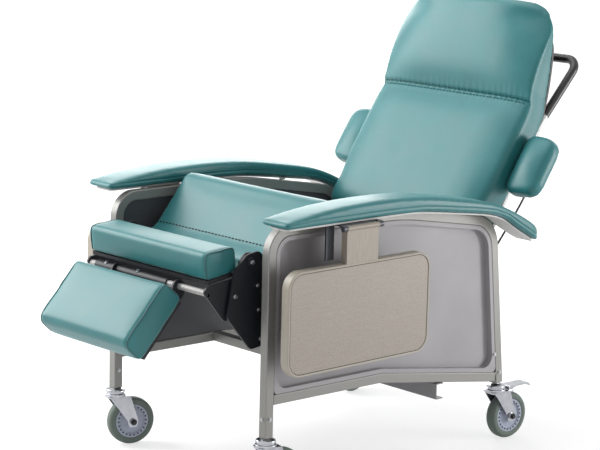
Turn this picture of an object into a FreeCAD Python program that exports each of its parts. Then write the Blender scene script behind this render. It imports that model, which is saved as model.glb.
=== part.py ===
import FreeCAD, Part
import math
import os
from FreeCAD import Placement, Rotation, Vector

# Reclining care chair. Millimetres, +Z up, floor at zero, the sitter faces -Y and +X is the sitter's left.

doc = FreeCAD.newDocument("careChair")
dims = doc.addObject("Spreadsheet::Sheet", "Dims")

drivingDimensions = {
    # Square tube side frames
    "tubeSize": 25.4, "tubeWall": 1.6, "tubeCorner": 2.5, "frameX": 297.75, "legBottom": 158,
    "frontStemY": -426.6, "rearStemY": 408, "rearLean": 0.105, "railFrontZ": 667.8, "railKinkY": 10,
    "railKinkZ": 666.6, "railFall": 0.1694, "railKinkBend": 800,
    "frontBend": 55, "rearBend": 84, "kinkBend": 115, "lowerRailZ": 252, "kinkY": -45, "kinkZ": 247,
    "lowerRailFall": 0.156, "lowerRailEndY": 389, "fitGap": 0.6, "rearFootCut": 3.2,
    # Moulded side panels
    "panelInnerX": 288, "panelDepth": 21.5, "panelRecess": 17, "panelRim": 11, "panelCorner": 30,
    # Cross members
    "crossTubeY": -85, "channelY": 175, "channelTop": 197, "channelTall": 43, "channelDeep": 26,
    "channelWall": 3, "channelHalf": 308,
    # Armrests
    "armInnerX": 290, "armWide": 100, "armBoardInset": 16, "armBoardThick": 4,
    "armBossX": 306, "armBossRadius": 9, "padGap": 0.4,
    # Side trays
    "trayInnerX": 369, "trayThick": 25, "trayFrontY": -448, "trayRearY": 32, "trayLowZ": 326,
    "trayTopZ": 584, "trayCorner": 42, "trayEdgeRound": 3, "hingeX": 392, "hingeZ": 672.6,
    "hingeRadius": 7, "hingePin": 3, "armBlockFrontY": -261, "armBlockRearY": -154, "runFit": 0.05,
    # Seat
    "seatPivotY": 351, "seatPivotZ": 430, "seatHalf": 265, "seatTilt": 20.5, "seatThick": 115,
    "deckThick": 12, "seatPlateX": 239, "plateThick": 6, "pivotPin": 8, "bearingRadius": 24,
    "pinHeadRadius": 13, "pinHeadThick": 5, "pivotCollar": 17.6, "seatTubeRadius": 12.5, "seatTubeWall": 2,
    "backPivotY": 296, "backPivotZ": 478, "calfPivotY": -440, "calfPivotZ": 588,
    # Back
    "backSlope": 34.3, "seamY": 518, "seamZ": 910, "backHalf": 276, "backThick": 78, "backRound": 18, "backLow": 396,
    "shellThick": 8, "shellHalf": 268, "backTubeX": 251, "backTubeRadius": 11, "backTubeLow": 372,
    "backTubeBend": 18, "tubeGap": 2.6, "gripRise": 46.5, "gripStart": 34, "gripReach": 231.406,
    "gripRadius": 12.2, "gripBend": 42, "backArmX": 232,
    # Wing pads
    "wingInnerX": 281, "wingWide": 107, "wingLong": 182, "wingThick": 40, "wingOffset": 41,
    "wingCentre": 156, "wingRound": 12, "strapThick": 4, "strapTall": 44,
    # Release lever
    "clampX": 132, "clampWide": 24, "clampRadius": 15.5, "leverDrop": 44, "leverLong": 122,
    "leverThick": 9, "cableRadius": 3,
    # Leg rest
    "calfHalf": 229, "calfPlateX": 226, "calfTubeY": -562, "calfTubeZ": 523, "calfTubeRadius": 8,
    "calfTubeWall": 1.6, "boardThick": 10, "footHalf": 176, "footArmX": 118, "footArmThick": 6,
    "sleeveRadius": 11.5, "sleeveLeft": 82, "sleeveRight": -200,
    # Casters
    "wheelRadius": 63.5, "tyreHalf": 16, "rimRadius": 45, "trail": 42, "axleRadius": 5, "stemRadius": 11,
    "stemLong": 44, "rearStemRadius": 8, "rearStemLong": 12,
    "forkInner": 19.5, "forkThick": 3, "collarRadius": 27, "pedalPivotY": 37, "pedalPivotZ": 142,
    "pedalHalf": 17, "pedalThick": 3.5, "pedalPin": 2.5,
}
for row, (alias, number) in enumerate(drivingDimensions.items(), start=1):
    dims.set(f"A{row}", alias)
    dims.set(f"B{row}", str(number))
    dims.setAlias(f"B{row}", alias)
doc.recompute()

subParts = []


def num(alias):
    return float(dims.get(alias))


def filletedPath(points, closed):
    # Straight runs between (x, y, radius) corners, with a tangent arc at every corner that has a radius.
    count = len(points)
    legs = []
    arcs = []
    for i, (x, y, radius) in enumerate(points):
        corner = Vector(x, y, 0)
        atEnd = not closed and i in (0, count - 1)
        if radius == 0 or atEnd:
            legs.append((corner, corner))
            arcs.append(None)
            continue
        before = (Vector(*points[i - 1][:2], 0) - corner).normalize()
        after = (Vector(*points[(i + 1) % count][:2], 0) - corner).normalize()
        half = before.getAngle(after) / 2
        bisector = (before + after).normalize()
        start = corner + before * (radius / math.tan(half))
        end = corner + after * (radius / math.tan(half))
        middle = corner + bisector * (radius / math.sin(half) - radius)
        legs.append((start, end))
        arcs.append(Part.Arc(start, middle, end))
    edges = []
    for i in range(count):
        if arcs[i]:
            edges.append(arcs[i])
        if closed or i < count - 1:
            start, end = legs[i][1], legs[(i + 1) % count][0]
            if (end - start).Length > 1e-6:
                edges.append(Part.LineSegment(start, end))
    return edges


def outline(points):
    return filletedPath(points, closed=True)


def circle(x, y, radius):
    return [Part.Circle(Vector(x, y, 0), Vector(0, 0, 1), radius)]


def smooth(points):
    curve = Part.BSplineCurve()
    curve.interpolate([Vector(x, y, 0) for x, y in points])
    return curve


def arcThrough(start, middle, end):
    return Part.Arc(Vector(*start, 0), Vector(*middle, 0), Vector(*end, 0))


def inset(points, distance, radii):
    # The corners of a counter-clockwise outline moved inwards by a distance.
    count = len(points)
    moved = []
    for i in range(count):
        before, here, after = (Vector(*points[(i + k) % count][:2], 0) for k in (-1, 0, 1))
        along = (here - before).normalize()
        onward = (after - here).normalize()
        inward = Vector(-along.y, along.x, 0)
        onwardIn = Vector(-onward.y, onward.x, 0)
        shift = (inward + onwardIn) * (distance / (1 + inward.dot(onwardIn)))
        moved.append(((here + shift).x, (here + shift).y, radii[i]))
    return moved


def newBody(label):
    body = doc.addObject("PartDesign::Body", label)
    body.Label = label
    return body


def drawing(body, role, wires, offset=None):
    sketch = body.newObject("Sketcher::SketchObject", body.Name + "Sketch")
    plane = next(item for item in body.Origin.OriginFeatures if item.Role == role)
    sketch.AttachmentSupport = [(plane, "")]
    sketch.MapMode = "FlatFace"
    for wire in wires:
        sketch.addGeometry(wire, False)
    if offset:
        sketch.setExpression("AttachmentOffset.Base.z", offset)
    return sketch


def pad(body, sketch, length, symmetric=False, backwards=False):
    feature = body.newObject("PartDesign::Pad", body.Name + "Pad")
    feature.Profile = sketch
    feature.SideType = "Symmetric" if symmetric else "One side"
    feature.Reversed = backwards
    feature.setExpression("Length", length)
    return feature


def pocket(body, sketch, depth):
    feature = body.newObject("PartDesign::Pocket", body.Name + "Pocket")
    feature.Profile = sketch
    feature.setExpression("Length", depth)
    return feature


def revolve(body, sketch, axis):
    feature = body.newObject("PartDesign::Revolution", body.Name + "Turn")
    feature.Profile = sketch
    feature.ReferenceAxis = (sketch, [axis])
    feature.Angle = 360
    return feature


def pipe(body, profile, spine):
    doc.recompute()
    feature = body.newObject("PartDesign::AdditivePipe", body.Name + "Pipe")
    feature.Profile = profile
    feature.Spine = (spine, [f"Edge{i + 1}" for i in range(len(spine.Shape.Edges))])
    return feature


def rounded(body, base, radius, chosen):
    doc.recompute()
    names = [f"Edge{i + 1}" for i, edge in enumerate(base.Shape.Edges) if chosen(edge)]
    feature = body.newObject("PartDesign::Fillet", body.Name + "Round")
    feature.Base = (base, names)
    feature.setExpression("Radius", radius)
    return feature


def flatAt(axis, value):
    # Chooses the edges that lie in the plane where one coordinate has the given value.
    def chosen(edge):
        low, high = getattr(edge.BoundBox, axis + "Min"), getattr(edge.BoundBox, axis + "Max")
        return abs(low - value) < 0.01 and abs(high - value) < 0.01
    return chosen


def keep(piece):
    subParts.append(piece)
    return piece


def mirrored(label, source):
    copy = doc.addObject("Part::Mirroring", label)
    copy.Label = label
    copy.Source = source
    copy.Normal = Vector(1, 0, 0)
    return copy


def pair(name, make):
    left = keep(make(name + "_left"))
    keep(mirrored(name + "_right", left))


def group(label, pieces):
    # Like pieces of one body that share a node as separate solids.
    result = doc.addObject("Part::Compound", label)
    result.Label = label
    result.Links = pieces
    return keep(result)


def joined(kind, label, first, second):
    result = doc.addObject(kind, label)
    result.Label = label
    result.Base = first
    result.Tool = second
    return result


def box(name, corner, size):
    solid = doc.addObject("Part::Box", name)
    for axis, start in zip("xyz", corner):
        solid.setExpression(f"Placement.Base.{axis}", str(start))
    for side, length in zip(("Length", "Width", "Height"), size):
        solid.setExpression(side, str(length))
    return solid


def rod(name, radius, length, start, direction):
    solid = doc.addObject("Part::Cylinder", name)
    solid.Placement = Placement(Vector(), Rotation(Vector(0, 0, 1), Vector(*direction)))
    solid.setExpression("Radius", radius)
    solid.setExpression("Height", length)
    for axis, value in zip("xyz", start):
        solid.setExpression(f"Placement.Base.{axis}", str(value))
    return solid


def fused(label, pieces):
    result = doc.addObject("Part::MultiFuse", label)
    result.Label = label
    result.Shapes = pieces
    result.Refine = True
    return result


# Lines of the side frame in the YZ plane

halfTube = num("tubeSize") / 2
postAngle = math.atan(num("rearLean"))


def topRailZ(y):
    # Nearly level to a slight bend, then falling towards the rear under the armrest.
    bend = num("railKinkY")
    level = (num("railFrontZ") - num("railKinkZ")) / (bend - num("frontStemY"))
    return num("railKinkZ") + max(0.0, bend - y) * level - max(0.0, y - bend) * num("railFall")


def lowerRailZ(y):
    fall = max(0.0, y - num("kinkY")) * num("lowerRailFall")
    level = (num("lowerRailZ") - num("kinkZ")) / (num("kinkY") - num("frontStemY"))
    return num("kinkZ") + max(0.0, num("kinkY") - y) * level - fall


def rearPostY(z):
    return num("rearStemY") - num("rearLean") * (z - num("legBottom"))


def crossing(heightAt, sideAt):
    # Where a rail and the leaning rear post meet, by repeated substitution.
    y = num("rearStemY")
    for _ in range(30):
        y = sideAt(heightAt(y))
    return y, heightAt(y)


def squareSection(x, y):
    half, wall, corner = halfTube, num("tubeWall"), num("tubeCorner")
    inner = half - wall

    def square(reach, radius):
        signs = ((-1, -1), (1, -1), (1, 1), (-1, 1))
        return outline([(x + reach * i, y + reach * j, radius) for i, j in signs])
    return [square(half, corner), square(inner, corner - wall)]


# Base: side frames, rails, panels and cross members

def bentTube(label):
    body = newBody(label)
    rearY, rearZ = crossing(topRailZ, rearPostY)
    front = num("frontStemY")
    # The leaning rear leg is cut square, so it ends a little higher than the front one.
    rearFoot = num("legBottom") + num("rearFootCut")
    corners = [
        (front, num("legBottom"), 0), (front, num("railFrontZ"), num("frontBend")),
        (num("railKinkY"), num("railKinkZ"), num("railKinkBend")),
        (rearY, rearZ, num("rearBend")), (rearPostY(rearFoot), rearFoot, 0),
    ]
    spine = drawing(body, "YZ_Plane", [filletedPath(corners, closed=False)], "Dims.frameX")
    section = drawing(body, "XY_Plane", squareSection(num("frameX"), front), "Dims.legBottom")
    pipe(body, section, spine)
    return body


def sideFrame(label):
    # The bent tube with a bored boss and its flange welded to the inner face of the rear post.
    inner = "Dims.frameX - Dims.tubeSize / 2"
    y, z = "Dims.seatPivotY", "Dims.seatPivotZ"
    flange = box(label + "Flange", (f"{inner} - 5", f"{y} - 26", f"{z} - 40"), (5, 66, 80))
    boss = rod(label + "Boss", "Dims.bearingRadius", "22", (f"{inner} - 22", y, z), (1, 0, 0))
    bore = rod(label + "Bore", "Dims.pivotPin + Dims.runFit", "30", (f"{inner} - 30", y, z), (1, 0, 0))
    bearing = joined("Part::Cut", label + "Bearing", fused(label + "Blank", [flange, boss]), bore)
    return fused(label, [bentTube(label + "Tube"), bearing])


def lowerRail(label):
    body = newBody(label)
    start = num("frontStemY") + halfTube
    end = num("lowerRailEndY")
    corners = [
        (start, lowerRailZ(start), 0), (num("kinkY"), num("kinkZ"), num("kinkBend")),
        (end, lowerRailZ(end), 0),
    ]
    spine = drawing(body, "YZ_Plane", [filletedPath(corners, closed=False)], "Dims.frameX")
    section = drawing(body, "XZ_Plane", squareSection(num("frameX"), lowerRailZ(start)),
                      "-(Dims.frontStemY + Dims.tubeSize / 2)")
    pipe(body, section, spine)
    return body


def panelCorners():
    gap = halfTube + num("fitGap")
    postGap = gap / math.cos(postAngle)

    def floorLine(y):
        return lowerRailZ(y) + gap

    def roofLine(y):
        return topRailZ(y) - gap

    def rearLine(z):
        return rearPostY(z) - postGap

    front = num("frontStemY") + gap
    lowY, lowZ = crossing(floorLine, rearLine)
    highY, highZ = crossing(roofLine, rearLine)
    return [
        (front, floorLine(front), 12), (num("kinkY"), num("kinkZ") + gap, num("kinkBend")),
        (lowY, lowZ, 12), (highY, highZ, num("rearBend") - halfTube + 2),
        (num("railKinkY"), roofLine(num("railKinkY")), num("railKinkBend")),
        (front, roofLine(front), num("frontBend") - halfTube + 2),
    ]


def sidePanel(label):
    body = newBody(label)
    corners = panelCorners()
    pad(body, drawing(body, "YZ_Plane", [outline(corners)], "Dims.panelInnerX"), "Dims.panelDepth")
    small, rim = num("panelCorner"), num("panelRim")
    radii = [small, num("kinkBend") + rim, small, corners[3][2] - rim, corners[4][2], corners[5][2] - rim]
    dish = outline(inset(corners, rim, radii))
    face = "Dims.panelInnerX + Dims.panelDepth"
    pocket(body, drawing(body, "YZ_Plane", [dish], face), "Dims.panelRecess")
    return body


pair("side_frame", sideFrame)
pair("lower_rail", lowerRail)
pair("side_panel", sidePanel)


def frontCrossTube(label):
    body = newBody(label)
    section = squareSection(num("crossTubeY"), lowerRailZ(num("crossTubeY")))
    pad(body, drawing(body, "YZ_Plane", section), "2 * (Dims.frameX - Dims.tubeSize / 2)", symmetric=True)
    return body


def rearCrossChannel(label):
    body = newBody(label)
    top, rear = num("channelTop"), num("channelY") + num("channelDeep") / 2
    low, front, wall = top - num("channelTall"), num("channelY") - num("channelDeep") / 2, num("channelWall")
    profile = outline([
        (front, low, wall), (rear, low, 0), (rear, low + wall, 0), (front + wall, low + wall, 0),
        (front + wall, top - wall, 0), (rear, top - wall, 0), (rear, top, 0), (front, top, wall),
    ])
    pad(body, drawing(body, "YZ_Plane", [profile]), "2 * Dims.channelHalf", symmetric=True)
    return body


keep(frontCrossTube("front_cross_tube"))
keep(rearCrossChannel("rear_cross_channel"))


# Armrests: a bowed board under a padded top

armTop = [(-442, 706), (-300, 724), (-130, 729), (20, 721), (185, 696), (246, 685), (305, 669), (366, 644),
          (440, 604), (470, 582)]
armUnder = [(450, 558), (405, 583), (365, 606), (333, 626), (281, 644.5), (206, 657), (66, 676), (10, 682),
            (-80, 685), (-170, 686), (-320, 686.5), (-444, 687)]
armNose = (-455, 697)
armTail = (471, 567)


def armPlan(name, margin):
    plan = newBody(name)
    inner, outer = num("armInnerX") + margin, num("armInnerX") + num("armWide") - margin
    front, rear = armNose[0] - 3 + margin, armTail[0] + 5 - margin
    corners = [(inner, front, 16), (outer, front, 16), (outer, rear, 48 - margin), (inner, rear, 48 - margin)]
    pad(plan, drawing(plan, "XY_Plane", [outline(corners)], "500"), "300")
    return plan


def armPad(label):
    # The bowed side profile, cut to a plan with a blunt front and a rounded tail.
    side = newBody(label + "Side")
    profile = [
        smooth(armTop), arcThrough(armTop[-1], armTail, armUnder[0]),
        smooth(armUnder), arcThrough(armUnder[-1], armNose, armTop[0]),
    ]
    pad(side, drawing(side, "YZ_Plane", [profile], "Dims.armInnerX"), "Dims.armWide")
    return joined("Part::Common", label, side, armPlan(label + "Plan", 0))


def armUnderZ(y):
    upright = Part.LineSegment(Vector(y, 0, 0), Vector(y, 1000, 0))
    return smooth(armUnder).intersect(upright)[0].Y


def armBoard(label):
    # A bowed slat under the pad, with round bosses that stand on the top rail.
    slat = newBody(label + "Slat")
    gap, thick = num("padGap"), num("armBoardThick")
    upper, lower = [smooth([(y, z - drop) for y, z in armUnder]) for drop in (gap, gap + thick)]
    profile = [
        upper, Part.LineSegment(upper.EndPoint, lower.EndPoint),
        lower, Part.LineSegment(lower.StartPoint, upper.StartPoint),
    ]
    pad(slat, drawing(slat, "YZ_Plane", [profile], "Dims.armInnerX"), "Dims.armWide")
    plan = armPlan(label + "Plan", num("armBoardInset"))
    pieces = [joined("Part::Common", label + "Board", slat, plan)]
    for i, y in enumerate((-330, -60, 160)):
        bottom = topRailZ(y - num("armBossRadius")) + halfTube + gap
        height = armUnderZ(y) - thick / 2 - bottom
        pieces.append(rod(f"{label}Boss{i}", "Dims.armBossRadius", str(height),
                          ("Dims.armBossX", y, bottom), (0, 0, 1)))
    return fused(label, pieces)


pair("armrest_pad", armPad)
pair("armrest_board", armBoard)


# Side trays, each on a barrel hinge under the outer edge of the armrest

def trayBracket(label):
    front, rear = "Dims.armBlockFrontY", "Dims.armBlockRearY"
    plate = box(label + "Plate", (338, f"{front} - 14", "Dims.hingeZ + 5.2"),
                (45, f"{rear} - {front} + 28", 3))
    tabs = [
        box(label + "TabA", (380, f"{front} - 14", "Dims.hingeZ + 3"), ("Dims.hingeX - 380", 13, 5.2)),
        box(label + "TabB", (380, f"{rear} + 1", "Dims.hingeZ + 3"), ("Dims.hingeX - 380", 13, 5.2)),
    ]
    knuckles = [
        rod(label + "KnuckleA", "Dims.hingeRadius", "13",
            ("Dims.hingeX", f"{front} - 14", "Dims.hingeZ"), (0, 1, 0)),
        rod(label + "KnuckleB", "Dims.hingeRadius", "13",
            ("Dims.hingeX", f"{rear} + 1", "Dims.hingeZ"), (0, 1, 0)),
    ]
    pin = rod(label + "Pin", "Dims.hingePin", f"{rear} - {front} + 28",
              ("Dims.hingeX", f"{front} - 14", "Dims.hingeZ"), (0, 1, 0))
    latch = box(label + "Latch", (355, f"{front} - 38", "Dims.trayTopZ + 8"),
                (5, 26, "Dims.hingeZ - Dims.trayTopZ - 2"))
    latchFoot = box(label + "LatchFoot", (338, f"{front} - 38", "Dims.hingeZ + 5.2"), (22, 40, 3))
    return fused(label, [plate, pin, latch, latchFoot] + tabs + knuckles)


def trayArm(label):
    front, rear = "Dims.armBlockFrontY", "Dims.armBlockRearY"
    outer = "(Dims.trayInnerX + Dims.trayThick)"
    block = box(label + "Block", (f"{outer} - 20", front, "Dims.trayTopZ"),
                (20, f"{rear} - {front}", "Dims.hingeZ - 3 - Dims.trayTopZ"))
    strap = box(label + "Strap", ("Dims.trayInnerX - 5", f"{front} + 20", "Dims.trayTopZ - 110"),
                (5, f"{rear} - {front} - 40", 150))
    web = box(label + "Web", ("Dims.trayInnerX - 5", f"{front} + 20", "Dims.trayTopZ + 4"),
              (12, f"{rear} - {front} - 40", 36))
    knuckle = rod(label + "Knuckle", "Dims.hingeRadius", f"{rear} - {front}",
                  ("Dims.hingeX", front, "Dims.hingeZ"), (0, 1, 0))
    bore = rod(label + "Bore", "Dims.hingePin + Dims.runFit", f"{rear} - {front} + 10",
               ("Dims.hingeX", f"{front} - 5", "Dims.hingeZ"), (0, 1, 0))
    return joined("Part::Cut", label, fused(label + "Blank", [block, strap, web, knuckle]), bore)


def trayTop(label):
    body = newBody(label)
    low, high, radius = num("trayLowZ"), num("trayTopZ"), num("trayCorner")
    front, rear = num("trayFrontY"), num("trayRearY")
    corners = [(y, z, radius) for y, z in ((front, low), (rear, low), (rear, high), (front, high))]
    board = pad(body, drawing(body, "YZ_Plane", [outline(corners)], "Dims.trayInnerX"), "Dims.trayThick")
    inner, outer = flatAt("X", num("trayInnerX")), flatAt("X", num("trayInnerX") + num("trayThick"))
    rounded(body, board, "Dims.trayEdgeRound", lambda edge: inner(edge) or outer(edge))
    return body


pair("tray_bracket", trayBracket)
pair("tray_arm", trayArm)
pair("tray_top", trayTop)


# Seat: black side plates, cross tubes, deck and cushion

seatSlope = math.radians(num("seatTilt"))
seatAlong = Vector(math.cos(seatSlope), -math.sin(seatSlope), 0)
seatUp = Vector(math.sin(seatSlope), math.cos(seatSlope), 0)
seatRearTop = Vector(262, 548, 0)
seatRearLow = seatRearTop - seatUp * num("seatThick")
seamLine = (-326, 595)
apronToe, apronLow, apronRearY = (-376, 562), (-334, 520), -268


def underSeat(distance, drop):
    # A point on the seat's underside, measured forward from its rear edge and down from the cushion.
    point = seatRearLow - seatAlong * distance - seatUp * drop
    return point.x, point.y


def seatCushion(label):
    body = newBody(label)
    roof = underSeat((seatRearLow.x - apronRearY) / seatAlong.x, 0)
    corners = [
        (*apronToe, 10), (*apronLow, 14), (apronRearY, apronLow[1], 8), (apronRearY, roof[1], 10),
        (seatRearLow.x, seatRearLow.y, 18), (seatRearTop.x, seatRearTop.y, 24), (-220, 725, 26),
        (*seamLine, 12),
    ]
    pad(body, drawing(body, "YZ_Plane", [outline(corners)]), "2 * Dims.seatHalf", symmetric=True)
    return body


def seatDeck(label):
    body = newBody(label)
    front, gap, low = 470, 0.4, 0.4 + num("deckThick")
    corners = [(*underSeat(4, gap), 0), (*underSeat(front, gap), 0), (*underSeat(front, low), 3),
               (*underSeat(4, low), 3)]
    pad(body, drawing(body, "YZ_Plane", [outline(corners)]), "2 * (Dims.seatHalf - 12)", symmetric=True)
    return body


def seatPlateBlank(label):
    # A gooseneck plate from the rear pivots, under the deck and down round the apron to the calf pivot.
    body = newBody(label)
    drop = num("deckThick") + 1
    corners = [
        (386, 466, 34), (386, 396, 34), (300, 380, 60), (*underSeat(60, drop + 62), 60),
        (*underSeat(400, drop + 62), 50), (-300, 385, 30), (-436, 369, 16), (-512, 458, 24),
        (-492, 570, 24), (-452, 607, 30), (-402, 615, 22), (-392, 540, 30), (-335, 505, 30), (-262, 505, 20),
        (*underSeat(474, drop), 12), (*underSeat(-4, drop), 14), (266, 506, 26), (330, 514, 30),
    ]
    holes = [circle(num(name + "Y"), num(name + "Z"), num("pivotPin") + num("runFit"))
             for name in ("backPivot", "calfPivot")]
    holes.append(circle(num("seatPivotY"), num("seatPivotZ"), num("pivotPin")))
    lightening = [circle(*underSeat(reach, drop + 32), 17) for reach in (110, 190, 270, 350)]
    wires = [outline(corners)] + holes + lightening
    pad(body, drawing(body, "YZ_Plane", wires, "Dims.seatPlateX"), "Dims.plateThick")
    return body


def seatCrossTube(label, reach):
    y, z = underSeat(reach, num("deckThick") + 1 + 15)
    length = "2 * Dims.seatPlateX"
    start = ("-Dims.seatPlateX", y, z)
    outer = rod(label + "Outer", "Dims.seatTubeRadius", length, start, (1, 0, 0))
    inner = rod(label + "Inner", "Dims.seatTubeRadius - Dims.seatTubeWall", length, start, (1, 0, 0))
    return joined("Part::Cut", label, outer, inner)


def seatPlate(label):
    # The plate with the welded pin that turns in the bearing on the rear post.
    y, z = "Dims.seatPivotY", "Dims.seatPivotZ"
    outer = "Dims.seatPlateX + Dims.plateThick"
    shank = rod(label + "Shank", "Dims.pivotPin", "38", ("Dims.seatPlateX", y, z), (1, 0, 0))
    collar = rod(label + "Collar", "Dims.pinHeadRadius", "Dims.pivotCollar", (outer, y, z), (1, 0, 0))
    return fused(label, [seatPlateBlank(label + "Blank"), shank, collar])


keep(seatCushion("seat_cushion"))
keep(seatDeck("seat_deck"))
pair("seat_plate", seatPlate)
group("seat_cross_tubes", [seatCrossTube("frontSeatTube", 395), seatCrossTube("rearSeatTube", 60)])


# Back: built in the plane of its front face, with the seam below the head section as origin

backPlace = Placement(Vector(0, num("seamY"), num("seamZ")), Rotation(Vector(1, 0, 0), 90 - num("backSlope")))
tubeOffset = num("backThick") + num("shellThick") + num("backTubeRadius") + num("tubeGap")


def backPoint(along, depth):
    point = backPlace.multVec(Vector(0, along, -depth))
    return point.y, point.z


def backCushion(label):
    body = newBody(label)
    half, low = num("backHalf"), -num("backLow")
    corners = [(-half, low, 40), (half, low, 40), (half, -0.3, 0), (-half, -0.3, 0)]
    block = pad(body, drawing(body, "XY_Plane", [outline(corners)]), "Dims.backThick", backwards=True)
    rounded(body, block, "Dims.backRound", lambda edge: flatAt("Z", 0)(edge) and edge.BoundBox.YMax < -0.31)
    body.Placement = backPlace
    return body


headFront = [(518, 910.3), (533, 1000), (556, 1075), (580, 1138)]
headRear = [(617, 1120), (611, 1030), (600, 945), (582.4, 866.3)]
headTop = (605, 1164)


def backView(name, half, lowZ, topZ):
    # The front view of the back, with big round top corners, thickened through the chair.
    body = newBody(name)
    corners = [(-half, lowZ, 0), (half, lowZ, 0), (half, topZ, 96), (-half, topZ, 96)]
    pad(body, drawing(body, "XZ_Plane", [outline(corners)], "-300"), "400", backwards=True)
    return body


def headCushion(label):
    profile = newBody(label + "Profile")
    lines = [
        smooth(headFront), arcThrough(headFront[-1], headTop, headRear[0]), smooth(headRear),
        Part.LineSegment(Vector(*headRear[-1], 0), Vector(*headFront[0], 0)),
    ]
    pad(profile, drawing(profile, "YZ_Plane", [lines]), "2 * Dims.backHalf", symmetric=True)
    view = backView(label + "View", num("backHalf"), 840, headTop[1])
    return joined("Part::Common", label, profile, view)


def backShell(label):
    # A thin moulded shell behind both cushions, bent forward at the seam with them.
    profile = newBody(label + "Profile")
    gap, thick = 0.4, num("shellThick")
    lower = [backPoint(-num("backLow") + 8, num("backThick") + depth) for depth in (gap, thick)]
    spread = 1.8
    bendIn, bendOut = [backPoint(-6, num("backThick") + depth + spread) for depth in (gap, thick)]
    near = [(y + gap + spread, z) for y, z in headRear[2::-1]]
    far = [(y + thick + spread, z) for y, z in headRear[:3]]
    lines = [
        Part.LineSegment(Vector(*lower[0], 0), Vector(*bendIn, 0)),
        smooth([bendIn] + near), Part.LineSegment(Vector(*near[-1], 0), Vector(*far[0], 0)),
        smooth(far + [bendOut]), Part.LineSegment(Vector(*bendOut, 0), Vector(*lower[1], 0)),
        Part.LineSegment(Vector(*lower[1], 0), Vector(*lower[0], 0)),
    ]
    pad(profile, drawing(profile, "YZ_Plane", [lines]), "2 * Dims.backHalf", symmetric=True)
    view = backView(label + "View", num("shellHalf"), 440, headRear[0][1] + 5)
    return joined("Part::Common", label, profile, view)


gripDirection = Vector(0, math.cos(math.radians(num("gripRise"))), math.sin(math.radians(num("gripRise"))))
bendPoint = Vector(0, *backPoint(-num("backTubeBend"), tubeOffset))
gripOrigin = bendPoint + gripDirection * num("gripStart")
gripPlace = Placement(gripOrigin, Rotation(Vector(1, 0, 0), num("gripRise")))
gripLong = num("gripReach") - num("gripStart")


def backTube(label):
    # Runs up behind the shell, then bends rearward into the push grip.
    body = newBody(label)
    low = backPoint(-num("backTubeLow"), tubeOffset)
    corners = [(*low, 0), (bendPoint.y, bendPoint.z, 90), (gripOrigin.y, gripOrigin.z, 0)]
    spine = drawing(body, "YZ_Plane", [filletedPath(corners, closed=False)], "Dims.backTubeX")
    section = body.newObject("Sketcher::SketchObject", label + "Section")
    slope = Rotation(Vector(1, 0, 0), -num("backSlope"))
    section.Placement = Placement(Vector(num("backTubeX"), *low), slope)
    for radius in (num("backTubeRadius"), num("backTubeRadius") - 2):
        section.addGeometry(circle(0, 0, radius), False)
    pipe(body, section, spine)
    return body


def pushGrip(label):
    body = newBody(label)
    x = num("backTubeX")
    bend = num("gripBend")
    corners = [(x, 0, 0), (x, gripLong, bend), (-x, gripLong, bend), (-x, 0, 0)]
    spine = drawing(body, "XY_Plane", [filletedPath(corners, closed=False)])
    section = drawing(body, "XZ_Plane", [circle(x, 0, num("gripRadius"))])
    pipe(body, section, spine)
    body.Placement = gripPlace
    return body


def backArmBlank(label):
    # A plate from the back pivot to the foot of the back tube, with a lobe for the cable anchor.
    body = newBody(label)
    y, z = num("backPivotY"), num("backPivotZ")
    edge = num("backTubeRadius") - 4
    corners = [
        (y - 26, z - 26, 26), (y + 40, z - 22, 30), (438, 486, 12), (438, 522, 12), (404, 530, 14),
        (*backPoint(-290, tubeOffset + edge), 8), (*backPoint(-290, tubeOffset - edge), 8),
        (*backPoint(-392, tubeOffset - edge), 10), (y + 44, z + 36, 30), (y - 24, z + 34, 26),
    ]
    sketch = drawing(body, "YZ_Plane", [outline(corners), circle(y, z, num("pivotPin"))], "Dims.backArmX")
    pad(body, sketch, "Dims.plateThick")
    return body


def withPin(label, blank, plate, pivot, reach):
    # A moving plate with the headed pin that turns in the seat plate outside it.
    y, z = f"Dims.{pivot}Y", f"Dims.{pivot}Z"
    shank = rod(label + "Shank", "Dims.pivotPin", f"{reach} + 1", (plate, y, z), (1, 0, 0))
    head = rod(label + "Head", "Dims.pinHeadRadius", "Dims.pinHeadThick",
               (f"{plate} + {reach}", y, z), (1, 0, 0))
    return fused(label, [blank, shank, head])


def backArm(label):
    return withPin(label, backArmBlank(label + "Blank"), "Dims.backArmX", "backPivot", "14")


keep(backCushion("back_cushion"))
keep(headCushion("head_cushion"))
keep(backShell("back_shell"))
pair("back_tube", backTube)
pair("back_arm", backArm)
keep(pushGrip("push_grip"))


# Wing pads on cranked straps beside the back

wingPlace = backPlace.multiply(Placement(Vector(0, -num("wingCentre"), -num("wingOffset")), Rotation()))


def wingPad(label):
    body = newBody(label)
    x, wide, half = num("wingInnerX"), num("wingWide"), num("wingLong") / 2
    corners = [(x, -half, 26), (x + wide, -half + 8, 34), (x + wide, half - 8, 40), (x, half, 30)]
    block = pad(body, drawing(body, "XY_Plane", [outline(corners)]), "Dims.wingThick", backwards=True)
    rounded(body, block, "Dims.wingRound", flatAt("Z", 0))
    body.Placement = wingPlace
    return body


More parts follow.
